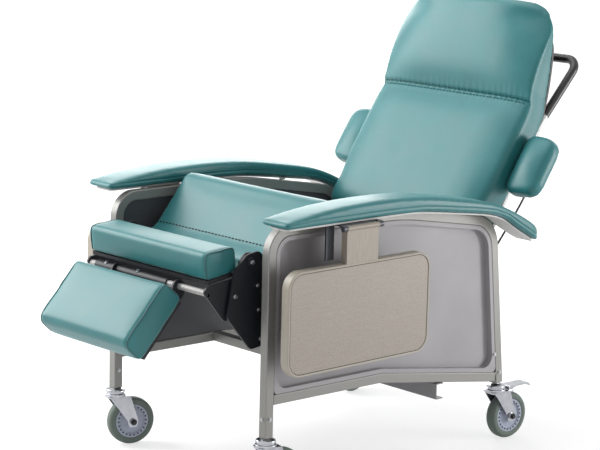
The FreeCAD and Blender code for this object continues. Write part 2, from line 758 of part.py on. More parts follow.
def wingBracket(label):
    body = newBody(label)
    thick = num("strapThick")
    padRear = -num("wingThick") - 0.3
    tubeRear = -(tubeOffset + num("backTubeRadius") - num("wingOffset")) - 0.3
    step = (num("backHalf") + num("wingInnerX")) / 2
    path = [(num("backTubeX") - 14, tubeRear), (step, tubeRear), (step, padRear), (step + 78, padRear)]
    corners = [(x, y, 0) for x, y in path]
    corners[1], corners[2] = (*path[1], 6), (*path[2], 3)
    outer = [(path[3][0], padRear - thick, 0), (step + thick, padRear - thick, 6),
             (step + thick, tubeRear - thick, 6), (path[0][0], tubeRear - thick, 0)]
    strap = outline([(x, -y, radius) for x, y, radius in corners + outer])
    sketch = body.newObject("Sketcher::SketchObject", label + "Sketch")
    sketch.Placement = Placement(Vector(), Rotation(Vector(1, 0, 0), -90))
    sketch.addGeometry(strap, False)
    pad(body, sketch, "Dims.strapTall", symmetric=True)
    body.Placement = wingPlace
    return body


pair("wing_pad", wingPad)
leftBracket = wingBracket("leftWingBracket")
group("wing_brackets", [leftBracket, mirrored("rightWingBracket", leftBracket)])


# Recline release: a squeeze lever under the push grip and its cable

def leverClamp(label):
    x, y, wide = num("clampX"), gripLong, num("clampWide")
    half, drop = wide / 2, num("leverDrop")
    body = newBody(label)
    rings = [circle(y, 0, radius) for radius in (num("clampRadius"), num("gripRadius") + num("runFit"))]
    ring = drawing(body, "YZ_Plane", rings, "Dims.clampX - Dims.clampWide / 2")
    pad(body, ring, "Dims.clampWide")
    for z in (-10, 6):
        root = y - num("gripRadius") + 0.7
        cheek = outline([(x - half, y - drop - 10, 6), (x + half, y - drop - 10, 6),
                         (x + half, root, 0), (x - half, root, 0)])
        pad(body, drawing(body, "XY_Plane", [cheek], str(z)), "4")
    pad(body, drawing(body, "XY_Plane", [circle(x, y - drop, 4)], "-13"), "26")
    body.Placement = gripPlace
    return body


def releaseLever(label):
    body = newBody(label)
    x, y = num("clampX"), gripLong - num("leverDrop")
    tip = x - num("leverLong")
    corners = [(x + 9, y - 9, 8), (x + 9, y + 9, 8), (x - 40, y + 7, 20), (tip, y + 6, 5), (tip, y - 6, 5),
               (x - 40, y - 8, 20)]
    wires = [outline(corners), circle(x, y, 4 + num("runFit"))]
    pad(body, drawing(body, "XY_Plane", wires), "Dims.leverThick", symmetric=True)
    body.Placement = gripPlace
    return body


anchorPoint = Vector(252, 421, 505)
cableRoute = [
    gripPlace.multVec(Vector(num("clampX"), gripLong - num("leverDrop") - 10, 0)), Vector(140, 668, 889),
    Vector(162, 640, 848), Vector(194, 622, 800), Vector(226, 602, 750), Vector(248, 574, 700),
    Vector(258, 542, 652), anchorPoint + Vector(2, 40, 47), anchorPoint,
]


def cableEdges(points):
    # Long straight runs joined by tangent arcs, each as large as its two runs allow.
    edges = []
    last = points[0]
    for before, corner, after in zip(points, points[1:], points[2:]):
        inward, onward = (before - corner), (after - corner)
        shorter = min(inward.Length, onward.Length) * 0.45
        inward.normalize()
        onward.normalize()
        half = inward.getAngle(onward) / 2
        radius = shorter * math.tan(half)
        start, end = corner + inward * shorter, corner + onward * shorter
        middle = corner + (inward + onward).normalize() * (radius / math.sin(half) - radius)
        edges.append(Part.LineSegment(last, start).toShape())
        edges.append(Part.Arc(start, middle, end).toShape())
        last = end
    edges.append(Part.LineSegment(last, points[-1]).toShape())
    return Part.Wire(edges)


def releaseCable(label):
    path = cableEdges(cableRoute)
    heading = cableRoute[1] - cableRoute[0]
    mouth = Part.Wire(Part.Circle(cableRoute[0], heading, num("cableRadius")).toShape())
    piece = doc.addObject("Part::Feature", label)
    piece.Label = label
    piece.Shape = path.makePipeShell([mouth], True, False)
    return piece


def cableAnchor(label):
    # A block on the back arm that takes the end of the cable's sheath.
    heading = (cableRoute[-1] - cableRoute[-2]).normalize()
    block = box(label + "Block", ("Dims.backArmX + Dims.plateThick", anchorPoint.y - 11, anchorPoint.z - 14),
                (20, 22, 11.6))
    sleeve = doc.addObject("Part::Cylinder", label + "Sleeve")
    sleeve.Radius = 5
    sleeve.Height = 14
    sleeve.Placement = Placement(anchorPoint, Rotation(Vector(0, 0, 1), heading))
    return fused(label, [block, sleeve])


keep(leverClamp("lever_clamp"))
keep(releaseLever("release_lever"))
keep(releaseCable("release_cable"))
keep(cableAnchor("cable_anchor"))


# Leg rest: calf section on the seat plates, foot section on the calf tube

calfPads = [(-564, 552, 9), (-468, 566, 10), (-475, 629, 12), (-572, 621, 12)]
footFace = Vector(-648, 555, 0)
footToe = Vector(-774, 416, 0)
footAlong = (footToe - footFace).normalize()
footBack = Vector(-footAlong.y, footAlong.x, 0)
footThick = 73


def footPoint(along, depth):
    point = footFace + footAlong * along + footBack * depth
    return point.x, point.y


footLong = (footToe - footFace).Length


def calfPlateBlank(label):
    body = newBody(label)
    y, z = num("calfPivotY"), num("calfPivotZ")
    corners = [
        (y - 4, z + 21, 17), (y - 24, z + 1, 10), (-466, 553, 6), (-562, 539, 6), (-588, 541, 12),
        (-505, 440, 14), (y + 28, z - 26, 18), (y + 22, z + 21, 17),
    ]
    wires = [outline(corners), circle(y, z, num("pivotPin")),
             circle(num("calfTubeY"), num("calfTubeZ") - 4, 4)]
    pad(body, drawing(body, "YZ_Plane", wires, "Dims.calfPlateX"), "Dims.plateThick")
    return body


def calfPlate(label):
    return withPin(label, calfPlateBlank(label + "Blank"), "Dims.calfPlateX", "calfPivot", "20")


def calfTube(label):
    y, z = "Dims.calfTubeY", "Dims.calfTubeZ"
    length = "2 * Dims.calfPlateX - 0.4"
    start = ("0.2 - Dims.calfPlateX", y, z)
    outer = rod(label + "Outer", "Dims.calfTubeRadius", length, start, (1, 0, 0))
    inner = rod(label + "Inner", "Dims.calfTubeRadius - Dims.calfTubeWall", length, start, (1, 0, 0))
    return joined("Part::Cut", label, outer, inner)


def calfCushion(label):
    body = newBody(label)
    pad(body, drawing(body, "YZ_Plane", [outline(calfPads)]), "2 * Dims.calfHalf", symmetric=True)
    return body


def calfBoard(label):
    body = newBody(label)
    (frontY, frontZ, _), (rearY, rearZ, _) = calfPads[:2]
    thick = num("boardThick")
    corners = [(frontY + 6, frontZ + 0.4 - thick, 2), (rearY + 2, rearZ - 0.4 - thick, 2),
               (rearY, rearZ - 0.5, 0), (frontY + 4, frontZ + 0.1, 0)]
    pad(body, drawing(body, "YZ_Plane", [outline(corners)]), "2 * (Dims.calfPlateX - 0.3)", symmetric=True)
    return body


def footCushion(label):
    body = newBody(label)
    corners = [(*footPoint(0, 0), 11), (*footPoint(0, footThick), 10), (*footPoint(footLong, footThick), 14),
               (*footPoint(footLong, 0), 22)]
    pad(body, drawing(body, "YZ_Plane", [outline(corners)]), "2 * Dims.footHalf", symmetric=True)
    return body


def footBoard(label):
    body = newBody(label)
    near, far = footThick + 0.4, footThick + num("boardThick")
    corners = [(*footPoint(8, near), 0), (*footPoint(8, far), 2), (*footPoint(footLong - 12, far), 2),
               (*footPoint(footLong - 12, near), 0)]
    pad(body, drawing(body, "YZ_Plane", [outline(corners)]), "2 * (Dims.footHalf - 8)", symmetric=True)
    return body


def footArm(label):
    # A strap with an eye that turns on the calf tube.
    body = newBody(label)
    y, z = num("calfTubeY"), num("calfTubeZ")
    under = footThick + num("boardThick") + 2
    corners = [(y - 14, z + 19, 14), (y + 19, z + 10, 17), (y + 14, z - 24, 17),
               (*footPoint(130, under + 16), 12), (*footPoint(130, under), 0), (*footPoint(14, under), 8)]
    wires = [outline(corners), circle(y, z, num("calfTubeRadius") + 0.08)]
    pad(body, drawing(body, "YZ_Plane", wires, "Dims.footArmX"), "Dims.footArmThick")
    return body


def footSleeve(label):
    # The black sleeve that turns on the calf tube and leaves its left end bare.
    start = ("Dims.sleeveRight", "Dims.calfTubeY", "Dims.calfTubeZ")
    length = "Dims.sleeveLeft - Dims.sleeveRight"
    outer = rod(label + "Outer", "Dims.sleeveRadius", length, start, (1, 0, 0))
    bore = rod(label + "Bore", "Dims.calfTubeRadius + 0.08", length, start, (1, 0, 0))
    return joined("Part::Cut", label, outer, bore)


pair("calf_plate", calfPlate)
keep(calfTube("calf_tube"))
keep(calfBoard("calf_board"))
keep(calfCushion("calf_cushion"))
leftFootArm = footArm("leftFootArm")
rightFootArm = fused("rightFootArm", [mirrored("rightFootStrap", leftFootArm), footSleeve("footSleeve")])
group("foot_arms", [leftFootArm, rightFootArm])
keep(footBoard("foot_board"))
keep(footCushion("foot_cushion"))


# Casters: each built about its stem with the wheel trailing to +Y, then turned and set under its leg

def forkSides(body):
    crown, eye = 136, num("wheelRadius")
    y = num("trail")
    corners = [(-24, crown, 0), (34, crown, 0), (y + 15, eye + 2, 12), (y + 12, eye - 15, 10),
               (y - 12, eye - 15, 10), (y - 15, eye + 2, 12)]
    for side in (1, -1):
        start = f"{side} * Dims.forkInner" if side > 0 else "-(Dims.forkInner + Dims.forkThick)"
        pad(body, drawing(body, "YZ_Plane", [outline(corners)], start), "Dims.forkThick")


def casterFork(label, place, braked):
    body = newBody(label)
    collar, top = num("collarRadius"), num("legBottom") - 0.5
    # A leaning rear leg leaves room for only a short, slim stem.
    which = "rearStem" if braked else "stem"
    stem, high = num(which + "Radius"), num(which + "Long")
    section = outline([
        (0, 131, 0), (collar - 3, 131, 2), (collar, 137, 0), (collar, 142, 2), (collar - 4, 143, 0),
        (collar - 4, 146, 0), (collar - 1, 147, 1.5), (collar - 2, 153, 3), (stem + 4, top, 0),
        (stem, top, 0), (stem, top + high, 2), (0, top + high, 0),
    ])
    revolve(body, drawing(body, "XZ_Plane", [section]), "V_Axis")
    rear = num("pedalPivotY") + 9 if braked else 34
    wide = num("forkInner") + num("forkThick")
    crown = outline([(-wide, -26, 12), (wide, -26, 12), (wide, rear, 0), (-wide, rear, 0)])
    pad(body, drawing(body, "XY_Plane", [crown], "131"), "5")
    forkSides(body)
    axle = [circle(num("trail"), num("wheelRadius"), num("axleRadius"))]
    reach = num("forkInner") + num("forkThick")
    pad(body, drawing(body, "YZ_Plane", axle, f"-{reach}"), f"2 * {reach}")
    nut = [circle(num("trail"), num("wheelRadius"), 8)]
    for start in (reach, -reach - 5):
        pad(body, drawing(body, "YZ_Plane", nut, str(start)), "5")
    if braked:
        y, z = num("pedalPivotY"), num("pedalPivotZ")
        lug = outline([(y - 8, 134, 0), (y + 8, 134, 0), (y + 7, z + 6, 5), (y - 7, z + 6, 5)])
        for start in ("Dims.pedalHalf + 0.5", "-(Dims.pedalHalf + 3.5)"):
            pad(body, drawing(body, "YZ_Plane", [lug], start), "3")
        pin = [circle(y, z, num("pedalPin"))]
        pad(body, drawing(body, "YZ_Plane", pin, "-(Dims.pedalHalf + 3)"), "2 * Dims.pedalHalf + 6")
    body.Placement = place
    return body


def turnedWheelPart(label, place, halfSection):
    # A half section drawn as (distance along the axle, radius), turned about the axle.
    body = newBody(label)
    sketch = drawing(body, "XY_Plane", [halfSection])
    revolve(body, sketch, "H_Axis")
    body.Placement = place.multiply(Placement(Vector(0, num("trail"), num("wheelRadius")), Rotation()))
    return body


def wheelHub(label, place):
    bore, rim = num("axleRadius") + num("runFit"), num("rimRadius") - 0.05
    half = [(18.5, bore, 0), (18.5, 13, 2), (12, 15, 2), (10, 33, 3), (14, 36, 1), (14, rim, 0)]
    section = half + [(-x, r, radius) for x, r, radius in reversed(half)]
    return turnedWheelPart(label, place, outline(section))


def wheelTyre(label, place):
    rim, wide, top = num("rimRadius"), num("tyreHalf"), num("wheelRadius")
    half = [(14, rim, 0), (wide, rim + 4, 3), (wide, top - 5, 8), (8, top, 9)]
    section = half + [(-x, r, radius) for x, r, radius in reversed(half)]
    return turnedWheelPart(label, place, outline(section))


def brakePedal(label, place):
    # A pressed lever over the wheel with a turned-down toe.
    body = newBody(label)
    y, z, thick = num("pedalPivotY"), num("pedalPivotZ"), num("pedalThick")
    side = outline([
        (y - 6, z - 5, 4), (y + 7, z - 4, 4), (62, z + 1, 12), (104, z + 2, 8), (112, z - 5, 0),
        (114.5, z - 3, 0), (106, z + 2 + thick, 9), (62, z + 1 + thick, 12),
        (y + 6, z + 5, 6), (y - 6, z + 5, 4),
    ])
    wires = [side, circle(y, z, num("pedalPin") + 0.08)]
    pad(body, drawing(body, "YZ_Plane", wires), "2 * Dims.pedalHalf", symmetric=True)
    body.Placement = place
    return body


casterTurns = {"front_left": -10, "front_right": -18, "rear_left": -4, "rear_right": 7}
for corner, turn in casterTurns.items():
    x = num("frameX") if corner.endswith("left") else -num("frameX")
    front = corner.startswith("front")
    stand = Vector(x, num("frontStemY") if front else num("rearStemY"), 0)
    place = Placement(stand, Rotation(Vector(0, 0, 1), turn))
    keep(casterFork("caster_fork_" + corner, place, braked=not front))
    keep(wheelHub("wheel_hub_" + corner, place))
    keep(wheelTyre("wheel_tyre_" + corner, place))
    if not front:
        keep(brakePedal("brake_pedal_" + corner, place))

doc.recompute()
troubled = [item.Label for item in doc.Objects if "Invalid" in item.State or "Error" in item.State]
for piece in subParts:
    if piece.Shape.isNull() or not piece.Shape.isValid() or not piece.Shape.Solids:
        troubled.append(piece.Label)
if troubled:
    raise RuntimeError("not built: " + ", ".join(troubled))

os.makedirs("parts", exist_ok=True)
for piece in subParts:
    piece.Shape.exportStep(f"parts/{piece.Label}.step")
print(len(subParts), "sub-parts written")
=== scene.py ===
import math
import bmesh
import bpy
import numpy as np
from mathutils import Matrix, Vector
from mathutils.bvhtree import BVHTree


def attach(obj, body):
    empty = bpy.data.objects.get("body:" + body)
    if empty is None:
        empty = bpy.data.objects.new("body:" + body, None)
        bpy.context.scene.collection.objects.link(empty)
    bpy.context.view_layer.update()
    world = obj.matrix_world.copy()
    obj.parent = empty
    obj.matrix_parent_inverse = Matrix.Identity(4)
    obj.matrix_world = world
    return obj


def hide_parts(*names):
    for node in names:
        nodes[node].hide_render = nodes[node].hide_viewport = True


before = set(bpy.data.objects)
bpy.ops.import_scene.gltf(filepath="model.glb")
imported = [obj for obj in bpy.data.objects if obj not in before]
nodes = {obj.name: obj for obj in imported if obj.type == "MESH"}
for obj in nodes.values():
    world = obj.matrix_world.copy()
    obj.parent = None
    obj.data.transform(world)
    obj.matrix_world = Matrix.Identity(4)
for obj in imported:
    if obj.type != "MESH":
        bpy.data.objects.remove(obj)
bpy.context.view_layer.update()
scene = bpy.context.scene
scene.view_settings.view_transform = "Standard"
print("frame loaded,", len(nodes), "nodes")


# Small tools

def hexColor(code):
    def channel(pair):
        value = int(pair, 16) / 255
        return value / 12.92 if value <= 0.04045 else ((value + 0.055) / 1.055) ** 2.4
    return (*[channel(code[i:i + 2]) for i in (1, 3, 5)], 1.0)


def perMillimetre(size):
    return 1000 / size  # texture scale for a feature of that many millimetres, in a scene of metres


def addNode(tree, kind, links=None, **settings):
    node = tree.nodes.new(kind)
    for key, value in settings.items():
        setattr(node, key, value)
    for key, value in (links or {}).items():
        if isinstance(value, bpy.types.NodeSocket):
            tree.links.new(value, node.inputs[key])
        else:
            node.inputs[key].default_value = value
    return node


def tinted(tree, value, *stops):
    # a colour ramp over the value, from (position, hex colour) pairs: its two ends, then any between
    ramp = addNode(tree, "ShaderNodeValToRGB", {"Fac": value})
    elements = ramp.color_ramp.elements
    for index, (position, code) in enumerate(stops):
        element = elements[index] if index < 2 else elements.new(position)
        element.position, element.color = position, hexColor(code)
    return ramp.outputs["Color"]


def newObject(name, mesh):
    piece = bpy.data.objects.new(name, mesh)
    scene.collection.objects.link(piece)
    return piece


def plainMesh(piece):
    # the evaluated object as a plain mesh object of the same name
    name = piece.name
    mesh = bpy.data.meshes.new_from_object(piece.evaluated_get(bpy.context.evaluated_depsgraph_get()))
    bpy.data.objects.remove(piece)
    return newObject(name, mesh)


def curveOf(name, lines, kind="POLY", radius=0.0, closed=False):
    # one spline per line of points; a radius makes them round tubes
    curve = bpy.data.curves.new(name, "CURVE")
    curve.dimensions = "3D"
    curve.bevel_depth = radius
    curve.bevel_resolution = 3
    curve.use_fill_caps = True
    for line in lines:
        spline = curve.splines.new(kind)
        spline.points.add(len(line) - 1)
        for point, place in zip(spline.points, line):
            point.co = (*place, 1)
        spline.use_cyclic_u = closed
    return curve


def shadeSmooth(piece):
    piece.data.polygons.foreach_set("use_smooth", [True] * len(piece.data.polygons))


def dress(piece, material, body):
    piece.data.materials.clear()
    piece.data.materials.append(material)
    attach(piece, body)
    return piece


# Camera, as fitted to the photograph

cameraView = {
    "position": (4.0481, -3.81688, 1.6552), "azimuth": 47.077, "elevation": 10.834, "roll": 1.34, "lens": 128.82,
    "sensor": 36,
}


def makeCamera(view):
    a, e, r = (math.radians(view[key]) for key in ("azimuth", "elevation", "roll"))
    right = Vector((math.cos(a), math.sin(a), 0))
    back = Vector((math.sin(a) * math.cos(e), -math.cos(a) * math.cos(e), math.sin(e)))
    up = back.cross(right)
    rolledRight = right * math.cos(r) + up * math.sin(r)
    rolledUp = up * math.cos(r) - right * math.sin(r)
    data = bpy.data.cameras.new("photoCamera")
    data.sensor_width = view["sensor"]
    data.lens = view["lens"]
    camera = newObject("photoCamera", data)
    turn = Matrix((rolledRight, rolledUp, back)).transposed().to_4x4()
    camera.matrix_world = Matrix.Translation(view["position"]) @ turn
    scene.camera = camera


makeCamera(cameraView)
print("camera placed")


# Materials

def startMaterial(name):
    material = bpy.data.materials.new(name)
    material.use_nodes = True
    tree = material.node_tree
    tree.nodes.clear()
    surface = addNode(tree, "ShaderNodeOutputMaterial").inputs["Surface"]
    return material, tree, addNode(tree, "ShaderNodeTexCoord").outputs["Object"], surface


def upholsteryVinyl(name, dark, light):
    # coated vinyl: a pressed leather grain, a soft sheen and slightly uneven colour over the foam
    material, tree, place, surface = startMaterial(name)
    cloud = addNode(tree, "ShaderNodeTexNoise", {"Vector": place, "Scale": perMillimetre(70), "Detail": 3.0})
    tint = tinted(tree, cloud.outputs["Fac"], (0.3, dark), (0.7, light))
    # grain cells are drawn 2.6 mm wide, about twice the real ones, so that they show
    grain = addNode(tree, "ShaderNodeTexVoronoi", {"Vector": place, "Scale": perMillimetre(2.6)},
                    feature="SMOOTH_F1")
    creases = addNode(tree, "ShaderNodeTexNoise", {"Vector": place, "Scale": perMillimetre(38), "Detail": 2.0})
    ripple = addNode(tree, "ShaderNodeBump", {
        "Height": creases.outputs["Fac"], "Strength": 0.08, "Distance": 0.0015})
    pebble = addNode(tree, "ShaderNodeBump", {
        "Height": grain.outputs["Distance"], "Strength": 0.12, "Distance": 0.0005,
        "Normal": ripple.outputs["Normal"]})
    gloss = addNode(tree, "ShaderNodeMapRange", {
        "Value": cloud.outputs["Fac"], "From Min": 0.3, "From Max": 0.7, "To Min": 0.36, "To Max": 0.42})
    shader = addNode(tree, "ShaderNodeBsdfPrincipled", {
        "Base Color": tint, "Roughness": gloss.outputs["Result"], "Normal": pebble.outputs["Normal"], "IOR": 1.4,
        "Coat Weight": 0.12, "Coat Roughness": 0.4, "Sheen Weight": 0.08, "Sheen Roughness": 0.4})
    tree.links.new(shader.outputs["BSDF"], surface)
    return material


def texturedSolid(name, dark, light, grainSize, roughness, metallic=0.0, bump=0.1, stretch=(1, 1, 1)):
    # paints, plated metals and moulded plastics: a fine grain that varies the colour, gloss and height a little
    material, tree, place, surface = startMaterial(name)
    spread = addNode(tree, "ShaderNodeMapping", {"Vector": place, "Scale": stretch})
    grain = addNode(tree, "ShaderNodeTexNoise", {
        "Vector": spread.outputs["Vector"], "Scale": perMillimetre(grainSize), "Detail": 4.0})
    tint = tinted(tree, grain.outputs["Fac"], (0.3, dark), (0.7, light))
    gloss = addNode(tree, "ShaderNodeMapRange", {
        "Value": grain.outputs["Fac"], "From Min": 0.3, "From Max": 0.7,
        "To Min": roughness * 0.9, "To Max": roughness * 1.12})
    relief = addNode(tree, "ShaderNodeBump", {
        "Height": grain.outputs["Fac"], "Strength": bump, "Distance": 0.0003})
    shader = addNode(tree, "ShaderNodeBsdfPrincipled", {
        "Base Color": tint, "Roughness": gloss.outputs["Result"],
        "Normal": relief.outputs["Normal"], "Metallic": metallic})
    tree.links.new(shader.outputs["BSDF"], surface)
    return material


# inner faces nearer the middle plane than these get a dark colour, as painted shade
panelShadeLimit, trayShadeLimit = 0.2885, 0.3705  # distance of their hidden faces from the middle plane


def inwardShadeMask(tree, place, limit):
    # 1 for points nearer the chair's middle plane than the limit, in metres: the mask for painted shade on inner
    # faces
    across = addNode(tree, "ShaderNodeSeparateXYZ", {"Vector": place}).outputs["X"]
    reach = addNode(tree, "ShaderNodeMath", {0: across}, operation="ABSOLUTE").outputs[0]
    return addNode(tree, "ShaderNodeMath", {0: reach, 1: limit}, operation="LESS_THAN").outputs[0]


def panelPlasticInnerShade():
    # thermoformed ABS sheet with a haircell grain; its faces towards the chair's middle get a dark grey, as
    # painted shade
    material, tree, place, surface = startMaterial("panelPlasticInnerShade")
    grain = addNode(tree, "ShaderNodeTexNoise", {"Vector": place, "Scale": perMillimetre(2.2), "Detail": 4.0})
    cloud = addNode(tree, "ShaderNodeTexNoise", {"Vector": place, "Scale": perMillimetre(160), "Detail": 2.0})
    tint = tinted(tree, cloud.outputs["Fac"], (0.3, "#9b999c"), (0.7, "#a6a3a6"))
    # painted shade: the panel's inner faces, in the chair's own shadow, are coloured dark grey
    shadedInner = inwardShadeMask(tree, place, panelShadeLimit)
    color = addNode(tree, "ShaderNodeMix", {0: shadedInner, 6: tint, 7: hexColor("#424347")}, data_type="RGBA")
    relief = addNode(tree, "ShaderNodeBump", {
        "Height": grain.outputs["Fac"], "Strength": 0.14, "Distance": 0.0004})
    shader = addNode(tree, "ShaderNodeBsdfPrincipled", {
        "Base Color": color.outputs[2], "Roughness": 0.46, "Normal": relief.outputs["Normal"]})
    tree.links.new(shader.outputs["BSDF"], surface)
    return material


def trayLaminateInnerShade():
    # speckled high-pressure laminate: fine flecks over a faint linen weave, with painted shade on the face
    # towards the chair
    material, tree, place, surface = startMaterial("trayLaminateInnerShade")
    fleck = addNode(tree, "ShaderNodeTexNoise", {
        "Vector": place, "Scale": perMillimetre(3.2), "Detail": 6.0, "Roughness": 0.75})
    tint = tinted(tree, fleck.outputs["Fac"], (0.34, "#92897f"), (0.66, "#b0a79d"), (0.5, "#a39a90"))
    weft = addNode(tree, "ShaderNodeMapping", {"Vector": place, "Scale": (1, 0.12, 1)})
    weave = addNode(tree, "ShaderNodeTexNoise", {
        "Vector": weft.outputs["Vector"], "Scale": perMillimetre(4), "Detail": 2.0})
    shade = addNode(tree, "ShaderNodeMapRange", {
        "Value": weave.outputs["Fac"], "From Min": 0.3, "From Max": 0.7, "To Min": 0.0, "To Max": 0.22})
    woven = addNode(tree, "ShaderNodeMix", {
        0: shade.outputs["Result"], 6: tint, 7: hexColor("#8d857c")}, data_type="RGBA")
    # painted shade: the tray's face towards the chair, in shadow, is coloured dark brown
    shadedTrayBack = inwardShadeMask(tree, place, trayShadeLimit)
    color = addNode(tree, "ShaderNodeMix", {
        0: shadedTrayBack, 6: woven.outputs[2], 7: hexColor("#75695f")}, data_type="RGBA")
    relief = addNode(tree, "ShaderNodeBump", {
        "Height": fleck.outputs["Fac"], "Strength": 0.08, "Distance": 0.0002})
    shader = addNode(tree, "ShaderNodeBsdfPrincipled", {
        "Base Color": color.outputs[2], "Roughness": 0.42, "Normal": relief.outputs["Normal"]})
    tree.links.new(shader.outputs["BSDF"], surface)
    return material


vinyl = upholsteryVinyl("upholsteryVinyl", "#2a6f72", "#30777a")
# a darker copy of the same vinyl for the piping: painted shade along the piped seams
pipingVinylShaded = upholsteryVinyl("pipingVinylShaded", "#29595d", "#2f6265")
panelSkin = panelPlasticInnerShade()
laminate = trayLaminateInnerShade()
silverCoat = texturedSolid("silverPowderCoat", "#858481", "#94938f", 1.4, 0.4, metallic=0.25, bump=0.08)
blackCoat = texturedSolid("blackPowderCoat", "#0f1117", "#16181f", 1.6, 0.52, bump=0.12)
greyPrimer = texturedSolid("greyPrimer", "#838184", "#918f92", 2, 0.5, bump=0.1)
blackBoard = texturedSolid("paintedPlywood", "#101115", "#1a1b20", 5, 0.68, bump=0.15, stretch=(0.15, 1, 1))
paleBoard = texturedSolid("sealedBoardEdge", "#c9c8c6", "#dad9d7", 3, 0.5, bump=0.1, stretch=(0.3, 0.2, 1))
satinTube = texturedSolid("satinTube", "#aaa7a6", "#b9b6b4", 4, 0.4, bump=0.06)
# grey steel, partly its own colour and partly made darker as painted shade for the hinge slot under the arm
bracketSteelShaded = texturedSolid("greySteelSlotShade", "#3f4146", "#5b5d62", 2, 0.4, metallic=0.8, bump=0.08)
zincPlate = texturedSolid("zincPlate", "#a7a8ab", "#bfc0c2", 2, 0.32, metallic=1.0, bump=0.05)
hingePaint = texturedSolid("brushedHingePaint", "#938a7e", "#a59c90", 1.6, 0.4, bump=0.18, stretch=(1, 1, 0.06))
edgeStrip = texturedSolid("edgeMoulding", "#a69e91", "#b4ada0", 2.4, 0.4, bump=0.06)
# painted shade: the dark band in the crease under the tray moulding's lip
edgeShadeLine = texturedSolid("edgeGrooveShade", "#4f4a44", "#5b554e", 2, 0.7, bump=0.05)
chromePlate = texturedSolid("chromePlate", "#a9abb1", "#b8babf", 18, 0.15, metallic=1.0, bump=0.03)
hubNylon = texturedSolid("hubNylon", "#a0a6b8", "#aeb4c5", 2.2, 0.48, bump=0.1)
hubShade = texturedSolid("hubSlotShade", "#3a3c44", "#474952", 2, 0.6, bump=0.05)
tyreRubber = texturedSolid("nonMarkingRubber", "#5c6761", "#69746d", 2.6, 0.66, bump=0.2)
gripSleeve = texturedSolid("gripSleeve", "#0f0f10", "#19191b", 2.2, 0.34, bump=0.22)
shellPlastic = texturedSolid("shellPlastic", "#0e0f11", "#17181a", 1.8, 0.5, bump=0.2)
whiteEnamel = texturedSolid("whiteEnamel", "#d6d8d7", "#e3e5e4", 9, 0.26, bump=0.04)
cableSheath = texturedSolid("cableSheath", "#131314", "#1e1e20", 2, 0.42, bump=0.1)
threadDark = texturedSolid("bondedThread", "#102423", "#1b3836", 1.2, 0.7, bump=0.2)
nutBlack = texturedSolid("blackNut", "#101013", "#1c1c20", 2, 0.45, bump=0.1)

finishes = {
    "side_frame": silverCoat, "lower_rail": silverCoat, "front_cross_tube": silverCoat,
    "side_panel": panelSkin, "rear_cross_channel": greyPrimer, "armrest_board": paleBoard,
    "tray_bracket": bracketSteelShaded, "tray_arm": hingePaint, "tray_top": laminate, "seat_deck": blackBoard,
    "seat_cross_tubes": blackCoat, "seat_plate": blackCoat,
    "back_shell": shellPlastic, "push_grip": gripSleeve, "wing_brackets": zincPlate, "lever_clamp": blackCoat,
    "cable_anchor": blackCoat, "back_tube": whiteEnamel, "back_arm": blackCoat, "release_lever": shellPlastic,
    "calf_tube": satinTube, "calf_board": blackBoard, "calf_plate": blackCoat, "foot_arms": blackCoat,
    "foot_board": blackBoard, "caster_fork": chromePlate, "wheel_hub": hubNylon, "wheel_tyre": tyreRubber,
    "brake_pedal": chromePlate,
}
for name, node in nodes.items():
    match = next((finish for key, finish in finishes.items() if name.startswith(key)), None)
    if match:
        for holder in node.material_slots:
            holder.material = match
print("materials made")


# Padded pieces: each starts from its solid, shrunk a little, then filled by a cloth simulation

backTilt = math.radians(90 - 34.3)  # the back leans 34.3 degrees from upright
backAlong = Vector((0, math.cos(backTilt), math.sin(backTilt)))
backFront = Vector((0, -math.sin(backTilt), math.cos(backTilt)))
seamPoint = Vector((0, 0.518, 0.910))

padding = {
    "seat_cushion": {"piece": "seatPad", "body": "seat", "voxel": 0.005, "shrink": 0.001, "cap": 0.004,
                     "rests": Vector((0, -0.35, -0.94)), "relax": 7, "fill": 0.8},
    "back_cushion": {"piece": "backPad", "body": "back", "voxel": 0.005, "shrink": 0.0, "cap": 0.006,
                     "rests": -backFront, "relax": 6, "fill": 0.8, "sewnTo": "head_cushion", "crown": True},
    "calf_cushion": {"piece": "calfPad", "body": "calf", "voxel": 0.0042, "shrink": 0.001, "cap": 0.003,
                     "rests": Vector((0, 0.15, -0.99)), "relax": 1, "fill": 0.9},
    "foot_cushion": {"piece": "footPad", "body": "foot", "voxel": 0.0045, "shrink": 0.001, "cap": 0.003,
                     "rests": Vector((0, 0.7374, -0.6755)), "relax": 1, "fill": 0.9},
    "armrest_pad_left": {"piece": "armPadLeft", "body": "base", "voxel": 0.0042, "shrink": 0.001, "cap": 0.004,
                         "rests": Vector((0, 0, -1)), "relax": 10, "fill": 0.9},
    "wing_pad_left": {"piece": "wingPadLeft", "body": "back", "voxel": 0.004, "shrink": 0.001, "cap": 0.004,
                      "rests": -backFront, "relax": 16, "fill": 0.85, "dome": True},
}
seamLap = 0.0006  # the head blank laps the back blank this far, so that the remesh joins them
clothFill = {
    "merge": 0.0001, "settle": 3, "restFrom": 0.45, "restOver": 0.35, "quality": 4, "mass": 0.25, "stretch": 12,
    "bend": 0.6, "pressure": 4, "frames": 20, "smooth": 40,
}
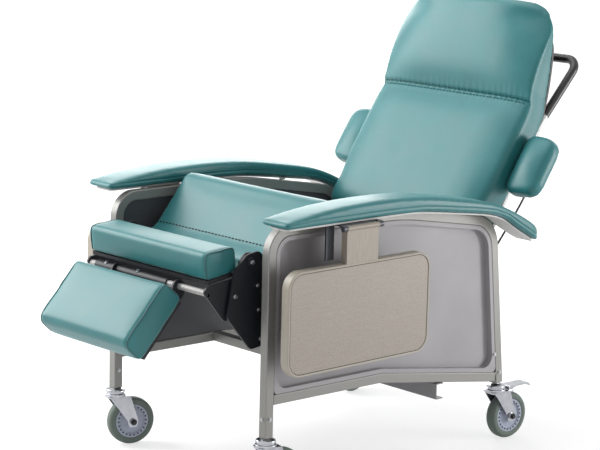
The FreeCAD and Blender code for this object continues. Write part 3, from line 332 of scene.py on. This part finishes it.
backCrown = {
    "half": 0.276, "bulge": 0.014, "flat": 0.52, "rearHold": 0.4, "seamHold": 0.045, "seamGive": 0.5,
    "headDrop": 0.05, "headReach": 0.22, "headLimit": 1.2, "headCurve": 1.5, "headTurn": 0.08, "headWiden": 0.010,
    "backWiden": 0.042, "rearPinch": 0.024, "lift": 0.008, "lowerEnd": (-0.305, -0.22), "lowerShare": (0.25, 1),
    "front": [(0.295, 0.583), (0.518, 0.910), (0.533, 1.000), (0.556, 1.075), (0.580, 1.138), (0.605, 1.164)],
    "rear": [(0.359, 0.539), (0.5824, 0.8663), (0.600, 0.945), (0.611, 1.030), (0.617, 1.120)],
    "headFront": (0, -0.97, 0.243),
}


def relaxed(points, edges, times, amount=0.5):
    count = len(points)
    ends = np.concatenate([edges[:, 0], edges[:, 1]])
    others = np.concatenate([edges[:, 1], edges[:, 0]])
    degree = np.bincount(ends, minlength=count)[:, None]
    for _ in range(times):
        around = np.stack([np.bincount(ends, points[others, i], minlength=count) for i in range(3)], axis=1)
        points = points + amount * (around / degree - points)
    return points


def readPoints(mesh):
    points = np.empty(len(mesh.vertices) * 3)
    mesh.vertices.foreach_get("co", points)
    return points.reshape(-1, 3)


def readEdges(mesh):
    edges = np.empty(len(mesh.edges) * 2, dtype=int)
    mesh.edges.foreach_get("vertices", edges)
    return edges.reshape(-1, 2)


def readNormals(mesh):
    normals = np.empty(len(mesh.vertices) * 3)
    mesh.vertex_normals.foreach_get("vector", normals)
    return normals.reshape(-1, 3)


def writePoints(mesh, points):
    mesh.vertices.foreach_set("co", points.ravel())
    mesh.update()


def crowned(start, points, options):
    # the back swells between its side edges, is held at the seam and drawn in at the rear;
    # the head's sides fall away
    along = (points - np.array(seamPoint)) @ np.array(backAlong)
    wide = np.minimum(np.abs(points[:, 0]) / options["half"], 1)
    frontY, rearY = [np.interp(points[:, 2], [z for _, z in line], [y for y, _ in line])
                     for line in (options["front"], options["rear"])]
    share = np.clip((rearY - points[:, 1]) / (rearY - frontY), 0, 1)
    points = start + (points - start) * np.clip(share / options["rearHold"], 0, 1)[:, None]
    roll = np.clip((wide - options["flat"]) / (1 - options["flat"]), 0, 1)
    held = 1 - options["seamGive"] * np.exp(-(along / options["seamHold"]) ** 2)
    rise = options["bulge"] * (1 - roll ** 2) * held
    reached = along / options["headReach"]
    drop = options["headDrop"] * np.clip(reached, 0, options["headLimit"]) ** options["headCurve"] * wide ** 3
    blend = np.clip(along / options["headTurn"], 0, 1)[:, None]
    facing = (1 - blend) * np.array(backFront) + blend * np.array(options["headFront"])
    points = points + facing * ((rise - drop) * share)[:, None]
    upper = np.clip((along + options["headTurn"] / 2) / options["headTurn"], 0, 1)
    # the lower end is narrower, to pass between the side frames
    clear = np.interp(along, options["lowerEnd"], options["lowerShare"])
    widen = options["backWiden"] * (1 - upper) * clear + options["headWiden"] * upper
    points[:, 0] *= 1 + widen - options["rearPinch"] * (1 - share)
    points[:, 2] += options["lift"] * np.clip(reached, 0, 1)
    return points


wingDome = {"middle": (0.3345, -0.156), "half": (0.0535, 0.091), "front": -0.041, "thick": 0.040, "rise": 0.013}


def domed(points, options):
    # a wing pad's face swells from its edges to its middle
    side = (points[:, 0] - options["middle"][0]) / options["half"][0]
    along = ((points - np.array(seamPoint)) @ np.array(backAlong) - options["middle"][1]) / options["half"][1]
    depth = (points - np.array(seamPoint)) @ np.array(backFront)
    share = np.clip((depth - options["front"]) / options["thick"] + 1, 0, 1)
    rise = options["rise"] * np.clip(1 - side ** 2, 0, 1) * np.clip(1 - along ** 2, 0, 1)
    return points + np.outer(rise * share, np.array(backFront))


def foamBlank(node, options):
    # the solid's copy, joined to what it is sewn to, remeshed evenly, rounded at its edges and drawn in
    shape = bmesh.new()
    shape.from_mesh(nodes[node].data)
    if "sewnTo" in options:
        own = set(shape.verts)
        shape.from_mesh(nodes[options["sewnTo"]].data)
        bmesh.ops.translate(shape, verts=[v for v in shape.verts if v not in own], vec=-backAlong * seamLap)
    bmesh.ops.remove_doubles(shape, verts=shape.verts, dist=clothFill["merge"])
    mesh = bpy.data.meshes.new(options["piece"])
    shape.to_mesh(mesh)
    shape.free()
    blank = newObject(options["piece"], mesh)
    even = blank.modifiers.new("even", "REMESH")
    even.mode = "VOXEL"
    even.voxel_size = options["voxel"]
    blank = plainMesh(blank)
    start = relaxed(readPoints(blank.data), readEdges(blank.data), clothFill["settle"])
    points = relaxed(start, readEdges(blank.data), options["relax"])
    if options.get("crown"):
        points = crowned(start, points, backCrown)
    if options.get("dome"):
        points = domed(points, wingDome)
    writePoints(blank.data, points)
    points = points - readNormals(blank.data) * options["shrink"]
    writePoints(blank.data, points)
    return blank


def restingShare(normals, direction):
    # 1 where a face looks at what it rests on, 0 where it is free to swell
    facing = normals @ np.array(direction)
    return np.clip((facing - clothFill["restFrom"]) / clothFill["restOver"], 0, 1)


def addCloth(piece, options):
    held = piece.vertex_groups.new(name="held")
    share = restingShare(readNormals(piece.data), options["rests"])
    for index in np.nonzero(share > 0.5)[0]:
        held.add([int(index)], 1.0, "REPLACE")
    cloth = piece.modifiers.new("fill", "CLOTH")
    cloth.settings.quality = clothFill["quality"]
    cloth.settings.mass = clothFill["mass"]
    cloth.settings.tension_stiffness = cloth.settings.compression_stiffness = clothFill["stretch"]
    cloth.settings.bending_stiffness = clothFill["bend"]
    cloth.settings.use_pressure = True
    cloth.settings.uniform_pressure_force = clothFill["pressure"]
    cloth.settings.vertex_group_mass = "held"
    cloth.settings.effector_weights.gravity = 0
    cloth.collision_settings.use_collision = False


def fillPads():
    pads = {node: foamBlank(node, options) for node, options in padding.items()}
    for node, piece in pads.items():
        addCloth(piece, padding[node])
    for step in range(1, clothFill["frames"] + 1):
        scene.frame_set(step)
    drawn = bpy.context.evaluated_depsgraph_get()
    swollen = {}
    for node, piece in pads.items():
        result = piece.evaluated_get(drawn)
        swollen[node] = readPoints(result.to_mesh())
        result.to_mesh_clear()
    for node, piece in pads.items():
        piece.modifiers.clear()
        piece.vertex_groups.clear()
        start = readPoints(piece.data)
        push = swollen[node] - start
        length = np.linalg.norm(push, axis=1, keepdims=True)
        push *= padding[node]["cap"] / (length + padding[node]["cap"])  # eases off towards the cap
        writePoints(piece.data, start + relaxed(push, readEdges(piece.data), clothFill["smooth"]))
        print(node, "swelled by", round(float(length.mean()) * 1000, 1), "mm on average")
    scene.frame_set(1)
    return pads


pads = fillPads()
print("pads filled")


def surfaceTree(piece):
    return BVHTree.FromPolygons([v.co for v in piece.data.vertices], [p.vertices[:] for p in piece.data.polygons])


def onSurface(tree, outside, direction):
    hit = tree.ray_cast(Vector(outside), Vector(direction))
    return hit[0]


# The sewn seam between back and head: the cover is drawn down along it and puckers between stitches

backSeam = {
    "drawn": 0.0055, "width": 0.0055, "pucker": 0.0005, "reach": 0.016, "spacing": 0.021, "wander": 1.7,
    "wanderRate": 31.0, "fine": 0.03, "fineFront": 0.1, "frontFrom": 0.2, "frontOver": 0.5,
}


def refine(piece, wanted):
    # divides the edges whose ends both pass the test, for detail finer than the remesh
    shape = bmesh.new()
    shape.from_mesh(piece.data)
    edges = [e for e in shape.edges if all(wanted(v) for v in e.verts)]
    bmesh.ops.subdivide_edges(shape, edges=edges, cuts=2, use_grid_fill=True, smooth=0.6)
    bmesh.ops.recalc_face_normals(shape, faces=shape.faces)
    shape.to_mesh(piece.data)
    shape.free()


def drawSeam(piece, options):
    points, normals = readPoints(piece.data), readNormals(piece.data)
    away = np.abs((points - np.array(seamPoint)) @ np.array(backAlong))
    front = np.clip((normals @ np.array(backFront) - options["frontFrom"]) / options["frontOver"], 0, 1)
    dip = options["drawn"] * np.exp(-(away / options["width"]) ** 2)
    across = points[:, 0]
    phase = 2 * math.pi * across / options["spacing"] + options["wander"] * np.sin(across * options["wanderRate"])
    fold = options["pucker"] * np.exp(-away / options["reach"]) * np.sin(phase)
    writePoints(piece.data, points - np.outer((dip - fold) * front, np.array(backFront)))


refine(pads["back_cushion"], lambda v: abs((v.co - seamPoint).dot(backAlong)) < backSeam["fine"]
       and v.normal.dot(backFront) > backSeam["fineFront"])
drawSeam(pads["back_cushion"], backSeam)


# The arm pads' boxing: a seam along the sides, with a rolled band below it

armBoxing = {
    "under": [(-0.455, 0.690), (-0.444, 0.687), (-0.320, 0.6865), (-0.170, 0.686), (-0.080, 0.685),
              (0.010, 0.682), (0.066, 0.676), (0.206, 0.657), (0.281, 0.6445), (0.333, 0.626), (0.365, 0.606),
              (0.405, 0.583), (0.450, 0.558)],
    "seam": 0.0150, "depth": 0.0015, "width": 0.0024, "band": 0.0060, "roll": 0.0003, "spread": 0.006,
    "steep": 0.85, "uprightTo": 0.9, "uprightOver": 0.4,
}


def boxedSides(piece, options):
    refine(piece, lambda v: abs(v.normal.z) < options["steep"])
    points, normals = readPoints(piece.data), readNormals(piece.data)
    alongY, underZ = zip(*options["under"])
    height = points[:, 2] - np.interp(points[:, 1], alongY, underZ)
    upright = np.clip((options["uprightTo"] - np.abs(normals[:, 2])) / options["uprightOver"], 0, 1)
    groove = options["depth"] * np.exp(-((height - options["seam"]) / options["width"]) ** 2)
    band = options["roll"] * np.exp(-((height - options["band"]) / options["spread"]) ** 2)
    writePoints(piece.data, points + normals * ((band - groove) * upright)[:, None])


boxedSides(pads["armrest_pad_left"], armBoxing)


# Piped seams where the end panels of the leg pads are sewn on

pipedEnds = {
    "calf_cushion": {"name": "calfPiping", "body": "calf", "half": 0.229, "centre": (-0.519, 0.5915)},
    "foot_cushion": {"name": "footPiping", "body": "foot", "half": 0.176, "centre": (-0.685, 0.458)},
}
piping = {"radius": 0.0021, "inset": 0.005, "groove": 0.0022, "width": 0.005, "steps": 140,
          "proud": 0.35, "smooth": 3}
outside = 0.4  # rays that look for a pad's surface start this far out


def groovePoints(piece, half):
    points, normals = readPoints(piece.data), readNormals(piece.data)
    away = np.abs(np.abs(points[:, 0]) - (half - piping["inset"]))
    depth = piping["groove"] * np.exp(-(away / piping["width"]) ** 2)
    writePoints(piece.data, points - normals * depth[:, None])


def ringOn(piece, x, centre):
    tree = surfaceTree(piece)
    ring = []
    for k in range(piping["steps"]):
        turn = 2 * math.pi * k / piping["steps"]
        out = Vector((0, math.cos(turn), math.sin(turn)))
        hit = onSurface(tree, Vector((x, *centre)) + out * outside, -out)
        if hit:
            ring.append(hit + out * piping["radius"] * piping["proud"])
    smoothRing = np.array(ring)
    for _ in range(piping["smooth"]):
        smoothRing = (np.roll(smoothRing, 1, 0) + smoothRing * 2 + np.roll(smoothRing, -1, 0)) / 4
    return smoothRing


for node, end in pipedEnds.items():
    groovePoints(pads[node], end["half"])
    rings = [ringOn(pads[node], side * (end["half"] - piping["inset"]), end["centre"]) for side in (1, -1)]
    piped = plainMesh(newObject(end["name"], curveOf(end["name"], rings, radius=piping["radius"], closed=True)))
    shadeSmooth(piped)
    dress(piped, pipingVinylShaded, end["body"])


def mirroredPad(piece, name):
    mesh = piece.data.copy()
    mesh.transform(Matrix.Scale(-1, 4, Vector((1, 0, 0))))
    mesh.flip_normals()
    return newObject(name, mesh)


for node, options in padding.items():
    piece = pads[node]
    twins = [(piece, node)]
    if node.endswith("_left"):
        twin = mirroredPad(piece, options["piece"].replace("Left", "Right"))
        twins.append((twin, node.replace("_left", "_right")))
    for pad, target in twins:
        shadeSmooth(pad)
        dress(pad, vinyl, options["body"])
        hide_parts(target, *([options["sewnTo"]] if "sewnTo" in options else []))
print("pads sewn")


# Stitches along a seam, as a Geometry Nodes tree

def startGroup(name, source, sizes, paint, result):
    # a Geometry Nodes group with named inputs: a geometry, numbers with their defaults, and a material
    tree = bpy.data.node_groups.new(name, "GeometryNodeTree")
    face = tree.interface
    face.new_socket(source, in_out="INPUT", socket_type="NodeSocketGeometry")
    for label, value in sizes.items():
        kind = "NodeSocketInt" if isinstance(value, int) else "NodeSocketFloat"
        face.new_socket(label, in_out="INPUT", socket_type=kind).default_value = value
    face.new_socket(paint, in_out="INPUT", socket_type="NodeSocketMaterial")
    face.new_socket(result, in_out="OUTPUT", socket_type="NodeSocketGeometry")
    return tree, addNode(tree, "NodeGroupInput").outputs


def endGroup(tree, instances, material, result):
    real = addNode(tree, "GeometryNodeRealizeInstances", {"Geometry": instances})
    painted = addNode(tree, "GeometryNodeSetMaterial", {
        "Geometry": real.outputs["Geometry"], "Material": material})
    addNode(tree, "NodeGroupOutput", {result: painted.outputs["Geometry"]})


def stitchTree():
    sizes = {"Pitch": 0.009, "Length": 0.006, "Thickness": 0.0012}
    tree, given = startGroup("stitchRow", "Path", sizes, "Thread", "Stitches")
    spaced = addNode(tree, "GeometryNodeResampleCurve", {"Curve": given["Path"], "Length": given["Pitch"]},
                     mode="LENGTH")
    along = addNode(tree, "GeometryNodeInputTangent").outputs["Tangent"]
    turned = addNode(tree, "FunctionNodeAlignRotationToVector", {"Vector": along}, axis="X")
    bead = addNode(tree, "GeometryNodeMeshUVSphere", {"Segments": 8, "Rings": 5, "Radius": 0.5})
    size = addNode(tree, "ShaderNodeCombineXYZ", {
        "X": given["Length"], "Y": given["Thickness"], "Z": given["Thickness"]})
    row = addNode(tree, "GeometryNodeInstanceOnPoints", {
        "Points": spaced.outputs["Curve"], "Instance": bead.outputs["Mesh"],
        "Rotation": turned.outputs["Rotation"], "Scale": size.outputs["Vector"]})
    endGroup(tree, row.outputs["Instances"], given["Thread"], "Stitches")
    return tree


def setInputs(modifier, values):
    for item in modifier.node_group.interface.items_tree:
        if item.in_out == "INPUT" and item.name in values:
            modifier[item.identifier] = values[item.name]


def stitchedLine(name, lines, body, values):
    piece = newObject(name, curveOf(name, lines))
    modifier = piece.modifiers.new("stitches", "NODES")
    modifier.node_group = stitches
    setInputs(modifier, {**values, "Thread": threadDark})
    piece = plainMesh(piece)
    shadeSmooth(piece)
    return dress(piece, threadDark, body)


stitches = stitchTree()
sewing = {"steps": 120, "stand": 0.3, "lift": 0.0002}
backRows = {"half": 0.262, "away": (-0.0065, 0.0045),
            "sizes": {"Pitch": 0.0125, "Length": 0.0090, "Thickness": 0.0027}}
seatFold = {"half": 0.255, "point": (0, -0.324, 0.600), "aim": (0, 0.75, -0.66),
            "sizes": {"Pitch": 0.013, "Length": 0.0098, "Thickness": 0.0042}}


def seamLine(tree, start, direction, half):
    line = []
    for k in range(sewing["steps"] + 1):
        x = -half + 2 * half * k / sewing["steps"]
        hit = onSurface(tree, Vector((x, 0, 0)) + start, direction)
        if hit:
            line.append(hit - Vector(direction).normalized() * sewing["lift"])
    return line


backTree = surfaceTree(pads["back_cushion"])
rows = [seamPoint + backAlong * away + backFront * sewing["stand"] for away in backRows["away"]]
stitchedLine("backStitching", [seamLine(backTree, row, -backFront, backRows["half"]) for row in rows], "back",
             backRows["sizes"])
seatTree = surfaceTree(pads["seat_cushion"])
foldAim = Vector(seatFold["aim"])
foldStart = Vector(seatFold["point"]) - foldAim * sewing["stand"]
foldLine = seamLine(seatTree, foldStart, foldAim, seatFold["half"])
stitchedLine("seatStitching", [foldLine], "seat", seatFold["sizes"])
print("seams stitched")


# Bolts, rivets and hub slots, as a Geometry Nodes tree

boltShape = {"taper": 0.82, "washerSides": 20, "washerThick": 0.0022}


def boltTree():
    sizes = {"Head": 0.006, "Height": 0.004, "Washer": 0.009, "Sides": 6}
    tree, given = startGroup("boltHeads", "Places", sizes, "Metal", "Bolts")
    facing = addNode(tree, "GeometryNodeInputNamedAttribute", {"Name": "facing"}, data_type="FLOAT_VECTOR")
    turned = addNode(tree, "FunctionNodeAlignRotationToVector", {
        "Vector": facing.outputs["Attribute"]}, axis="Z")
    top = addNode(tree, "ShaderNodeMath", {0: given["Head"], 1: boltShape["taper"]}, operation="MULTIPLY")
    head = addNode(tree, "GeometryNodeMeshCone", {
        "Vertices": given["Sides"], "Radius Top": top.outputs[0], "Radius Bottom": given["Head"],
        "Depth": given["Height"]})
    washer = addNode(tree, "GeometryNodeMeshCylinder", {
        "Vertices": boltShape["washerSides"], "Radius": given["Washer"], "Depth": boltShape["washerThick"]})
    bolt = addNode(tree, "GeometryNodeJoinGeometry")
    tree.links.new(head.outputs["Mesh"], bolt.inputs["Geometry"])
    tree.links.new(washer.outputs["Mesh"], bolt.inputs["Geometry"])
    spots = addNode(tree, "GeometryNodeInstanceOnPoints", {
        "Points": given["Places"], "Instance": bolt.outputs["Geometry"], "Rotation": turned.outputs["Rotation"]})
    endGroup(tree, spots.outputs["Instances"], given["Metal"], "Bolts")
    return tree


boltHeads = boltTree()


def bolted(name, places, body, metal, values):
    # places are (point, facing) pairs in metres
    mesh = bpy.data.meshes.new(name)
    mesh.from_pydata([point for point, _ in places], [], [])
    facing = mesh.attributes.new("facing", "FLOAT_VECTOR", "POINT")
    facing.data.foreach_set("vector", [c for _, direction in places for c in direction])
    piece = newObject(name, mesh)
    modifier = piece.modifiers.new("bolts", "NODES")
    modifier.node_group = boltHeads
    setInputs(modifier, {**values, "Metal": metal})
    return dress(plainMesh(piece), metal, body)


frameBolts = {
    "places": [
        ((0.3106, -0.4266, 0.205), (1, 0, 0)), ((0.29775, -0.4395, 0.205), (0, -1, 0)),
        ((-0.3106, -0.4266, 0.205), (-1, 0, 0)), ((-0.2849, -0.4266, 0.205), (1, 0, 0)),
        ((0.3106, 0.4040, 0.190), (1, 0, 0)), ((-0.3106, 0.4040, 0.190), (-1, 0, 0)),
        ((0.3097, 0.3830, 0.243), (1, 0, 0)), ((-0.3097, 0.3830, 0.243), (-1, 0, 0)),
    ],
    "sizes": {"Head": 0.0042, "Height": 0.004, "Washer": 0.0056, "Sides": 12},
}
bolted("frameBolts", frameBolts["places"], "base", zincPlate, frameBolts["sizes"])

plateBolts = {
    "spots": [(-0.416, 0.527), (-0.488, 0.508), (-0.411, 0.466), (-0.404, 0.392)],
    "outer": 0.2452, "sizes": {"Head": 0.0042, "Height": 0.006, "Washer": 0.006, "Sides": 6},
}
bolted("plateBolts", [((side * plateBolts["outer"], y, z), (side, 0, 0)) for side in (1, -1)
                      for y, z in plateBolts["spots"]], "seat", zincPlate, plateBolts["sizes"])

pinBolts = {"outer": 0.2512, "spot": (-0.440, 0.588),
            "sizes": {"Head": 0.0052, "Height": 0.005, "Washer": 0.0066, "Sides": 6}}
bolted("pinBolts", [((side * pinBolts["outer"], *pinBolts["spot"]), (side, 0, 0)) for side in (1, -1)], "calf",
       zincPlate, pinBolts["sizes"])

sleeveBolts = {"spots": (-0.160, -0.033), "place": (-0.5662, 0.5341), "facing": (0, -0.35, 0.94),
               "sizes": {"Head": 0.0042, "Height": 0.004, "Washer": 0.0052, "Sides": 6}}
bolted("sleeveBolts", [((x, *sleeveBolts["place"]), sleeveBolts["facing"]) for x in sleeveBolts["spots"]], "foot",
       zincPlate, sleeveBolts["sizes"])

casterStems = {
    "front_left": (0.29775, -0.4266, -10), "front_right": (-0.29775, -0.4266, -18),
    "rear_left": (0.29775, 0.408, -4), "rear_right": (-0.29775, 0.408, 7),
}
casterTrail = 0.042
hubRing = {"radius": 0.0385, "count": 22, "face": 0.0141, "height": 0.0635,
           "sizes": {"Head": 0.0021, "Height": 0.0012, "Washer": 0.0024, "Sides": 8}}
axleNut = {"face": 0.0277, "sizes": {"Head": 0.0066, "Height": 0.006, "Washer": 0.0084, "Sides": 6}}
for corner, (x, y, turn) in casterStems.items():
    angle = math.radians(turn)
    axle = Vector((math.cos(angle), math.sin(angle), 0))
    roll = Vector((-math.sin(angle), math.cos(angle), 0))
    centre = Vector((x, y, hubRing["height"])) + roll * casterTrail
    dots, nuts = [], []
    for side in (1, -1):
        nuts.append((centre + axle * side * axleNut["face"], axle * side))
        for k in range(hubRing["count"]):
            t = 2 * math.pi * k / hubRing["count"]
            spoke = roll * math.cos(t) + Vector((0, 0, 1)) * math.sin(t)
            dots.append((centre + spoke * hubRing["radius"] + axle * side * hubRing["face"], axle * side))
    # dark dots on the hub faces: painted shade for the hub's slots
    bolted("hubSlots_" + corner, dots, "wheel_" + corner, hubShade, hubRing["sizes"])
    bolted("axleNuts_" + corner, nuts, "caster_" + corner, nutBlack, axleNut["sizes"])
print("bolts set")


# Tray edge: a moulding pressed over the rim, and a dark band where it meets the face, painted shade under the
# moulding's lip

trayRim = {
    "low": (-0.448, 0.326), "high": (0.032, 0.584), "corner": 0.042, "face": 0.394, "back": 0.369, "steps": 14,
}


def rimLoop(offset):
    (y0, z0), (y1, z1), r = trayRim["low"], trayRim["high"], trayRim["corner"]
    loop = []
    centres = ((y1 - r, z1 - r), (y0 + r, z1 - r), (y0 + r, z0 + r), (y1 - r, z0 + r))
    for quarter, (cy, cz) in enumerate(centres):
        for k in range(trayRim["steps"] + 1):
            t = math.radians(90 * quarter + 90 * k / trayRim["steps"])
            loop.append((cy + (r + offset) * math.cos(t), cz + (r + offset) * math.sin(t)))
    return loop


def rimBand(name, section, side):
    # the section is a closed list of (offset outwards, x) in metres
    shape = bmesh.new()
    rows = []
    for offset, x in section:
        rows.append([shape.verts.new((side * x, y, z)) for y, z in rimLoop(offset)])
    count = len(rows[0])
    for i, row in enumerate(rows):
        following = rows[(i + 1) % len(rows)]
        for k in range(count):
            n = (k + 1) % count
            shape.faces.new((row[k], row[n], following[n], following[k]))
    bmesh.ops.recalc_face_normals(shape, faces=shape.faces)
    mesh = bpy.data.meshes.new(name)
    shape.to_mesh(mesh)
    shape.free()
    return newObject(name, mesh)


face, backFace = trayRim["face"], trayRim["back"]
mouldingSection = [
    (-0.0045, face + 0.0007), (-0.0012, face + 0.0010), (0.0006, face - 0.0004), (0.0010, face - 0.0030),
    (0.0010, backFace + 0.0030), (0.0004, backFace), (-0.0012, backFace - 0.0008), (-0.0045, backFace - 0.0006),
    (-0.0045, backFace + 0.0012), (-0.0012, backFace + 0.0018), (-0.0012, face - 0.0018),
    (-0.0045, face - 0.0012),
]
shadeLineSection = [
    (-0.0066, face - 0.0008), (-0.0066, face + 0.0003), (-0.0046, face + 0.0003), (-0.0046, face - 0.0008),
]
for side, label in ((1, "left"), (-1, "right")):
    dress(rimBand("trayMoulding_" + label, mouldingSection, side), edgeStrip, "tray_" + label)
    dress(rimBand("trayShadeLine_" + label, shadeLineSection, side), edgeShadeLine, "tray_" + label)
print("trays edged")


# Release cable: one smooth sheathed line from the lever to the anchor on the back arm

cable = {
    "route": [(0.132, 0.71225, 0.96769), (0.140, 0.668, 0.889), (0.162, 0.640, 0.848), (0.194, 0.622, 0.800),
              (0.226, 0.602, 0.750), (0.248, 0.574, 0.700), (0.258, 0.542, 0.652), (0.254, 0.461, 0.552),
              (0.252, 0.421, 0.505)],
    "radius": 0.003, "order": 3, "steps": 10,
}


def lineLength(curve):
    # the length of the curve without its thickness
    bare = curve.copy()
    bare.bevel_depth = 0
    track = plainMesh(newObject("cableTrack", bare))
    total = sum((track.data.vertices[e.vertices[0]].co - track.data.vertices[e.vertices[1]].co).length
                for e in track.data.edges)
    bpy.data.objects.remove(track)
    return round(total, 4)


def cableLine(options):
    curve = curveOf("releaseCable", [options["route"]], kind="NURBS", radius=options["radius"])
    spline = curve.splines[0]
    spline.order_u = options["order"]
    spline.resolution_u = options["steps"]
    spline.use_endpoint_u = True
    line = newObject("releaseCable", curve)
    length = lineLength(curve)
    dress(line, cableSheath, "back")
    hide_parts("release_cable")


cableLine(cable)
print("cable run")


# Floor, light and background

floorLook = {
    "reach": 40, "drop": 0.0005, "matte": 0.42, "bounce": 0.8, "near": 1.0, "far": 3.0, "nearGlow": 0.66,
    "farGlow": 1.0,
}
worldGlow = {"lighting": 0.45, "seen": 1.0}


def seenRays(tree):
    # 1 for what the camera sees, directly or in a shiny surface
    rays = addNode(tree, "ShaderNodeLightPath").outputs
    return addNode(tree, "ShaderNodeMath", {
        0: rays["Is Camera Ray"], 1: rays["Is Glossy Ray"]}, operation="MAXIMUM").outputs[0]


def makeFloor(look):
    mesh = bpy.data.meshes.new("floor")
    corners = [(x * look["reach"], y * look["reach"], -look["drop"])
               for x, y in ((-1, -1), (1, -1), (1, 1), (-1, 1))]
    mesh.from_pydata(corners, [], [(0, 1, 2, 3)])
    floor = newObject("floor", mesh)
    material, tree, place, surface = startMaterial("paleFloor")
    matte = addNode(tree, "ShaderNodeBsdfDiffuse", {"Color": (*[look["matte"]] * 3, 1)})
    far = addNode(tree, "ShaderNodeVectorMath", {0: place}, operation="LENGTH").outputs["Value"]
    level = addNode(tree, "ShaderNodeMapRange", {
        "Value": far, "From Min": look["near"], "From Max": look["far"],
        "To Min": look["nearGlow"], "To Max": look["farGlow"]})
    glow = addNode(tree, "ShaderNodeEmission", {"Color": (1, 1, 1, 1), "Strength": level.outputs["Result"]})
    lit = addNode(tree, "ShaderNodeAddShader", {0: matte.outputs[0], 1: glow.outputs[0]})
    bounce = addNode(tree, "ShaderNodeBsdfDiffuse", {"Color": (*[look["bounce"]] * 3, 1)})
    mixed = addNode(tree, "ShaderNodeMixShader", {0: seenRays(tree), 1: bounce.outputs[0], 2: lit.outputs[0]})
    tree.links.new(mixed.outputs[0], surface)
    mesh.materials.append(material)


studioLights = {
    "topSoftbox": {"place": (-0.5, 0.1, 3.3), "aim": (0, 0, 0.5), "size": (2.4, 2.4), "power": 40},
    "keySoftbox": {"place": (-3.6, -2.2, 2.65), "aim": (0, 0, 0.7), "size": (3.0, 3.5), "power": 245},
    "sideSoftbox": {"place": (2.85, 2.8, 0.85), "aim": (0.2, 0.4, 0.7), "size": (1.3, 1.5), "power": 70},
    "rimSoftbox": {"place": (-2.9, 2.2, 1.9), "aim": (0, -0.2, 0.7), "size": (2.2, 1.8), "power": 45},
}


def makeLights():
    for name, lamp in studioLights.items():
        data = bpy.data.lights.new(name, "AREA")
        data.shape = "RECTANGLE"
        data.size, data.size_y = lamp["size"]
        data.energy = lamp["power"]
        light = newObject(name, data)
        direction = Vector(lamp["aim"]) - Vector(lamp["place"])
        light.location = lamp["place"]
        light.rotation_euler = direction.to_track_quat("-Z", "Y").to_euler()
    world = bpy.data.worlds.new("studio")
    scene.world = world
    world.use_nodes = True
    tree = world.node_tree
    tree.nodes.clear()
    level = addNode(tree, "ShaderNodeMapRange", {
        "Value": seenRays(tree), "To Min": worldGlow["lighting"], "To Max": worldGlow["seen"]})
    glow = addNode(tree, "ShaderNodeBackground", {"Color": (1, 1, 1, 1), "Strength": level.outputs["Result"]})
    addNode(tree, "ShaderNodeOutputWorld", {"Surface": glow.outputs[0]})


makeFloor(floorLook)
makeLights()
print("studio lit")
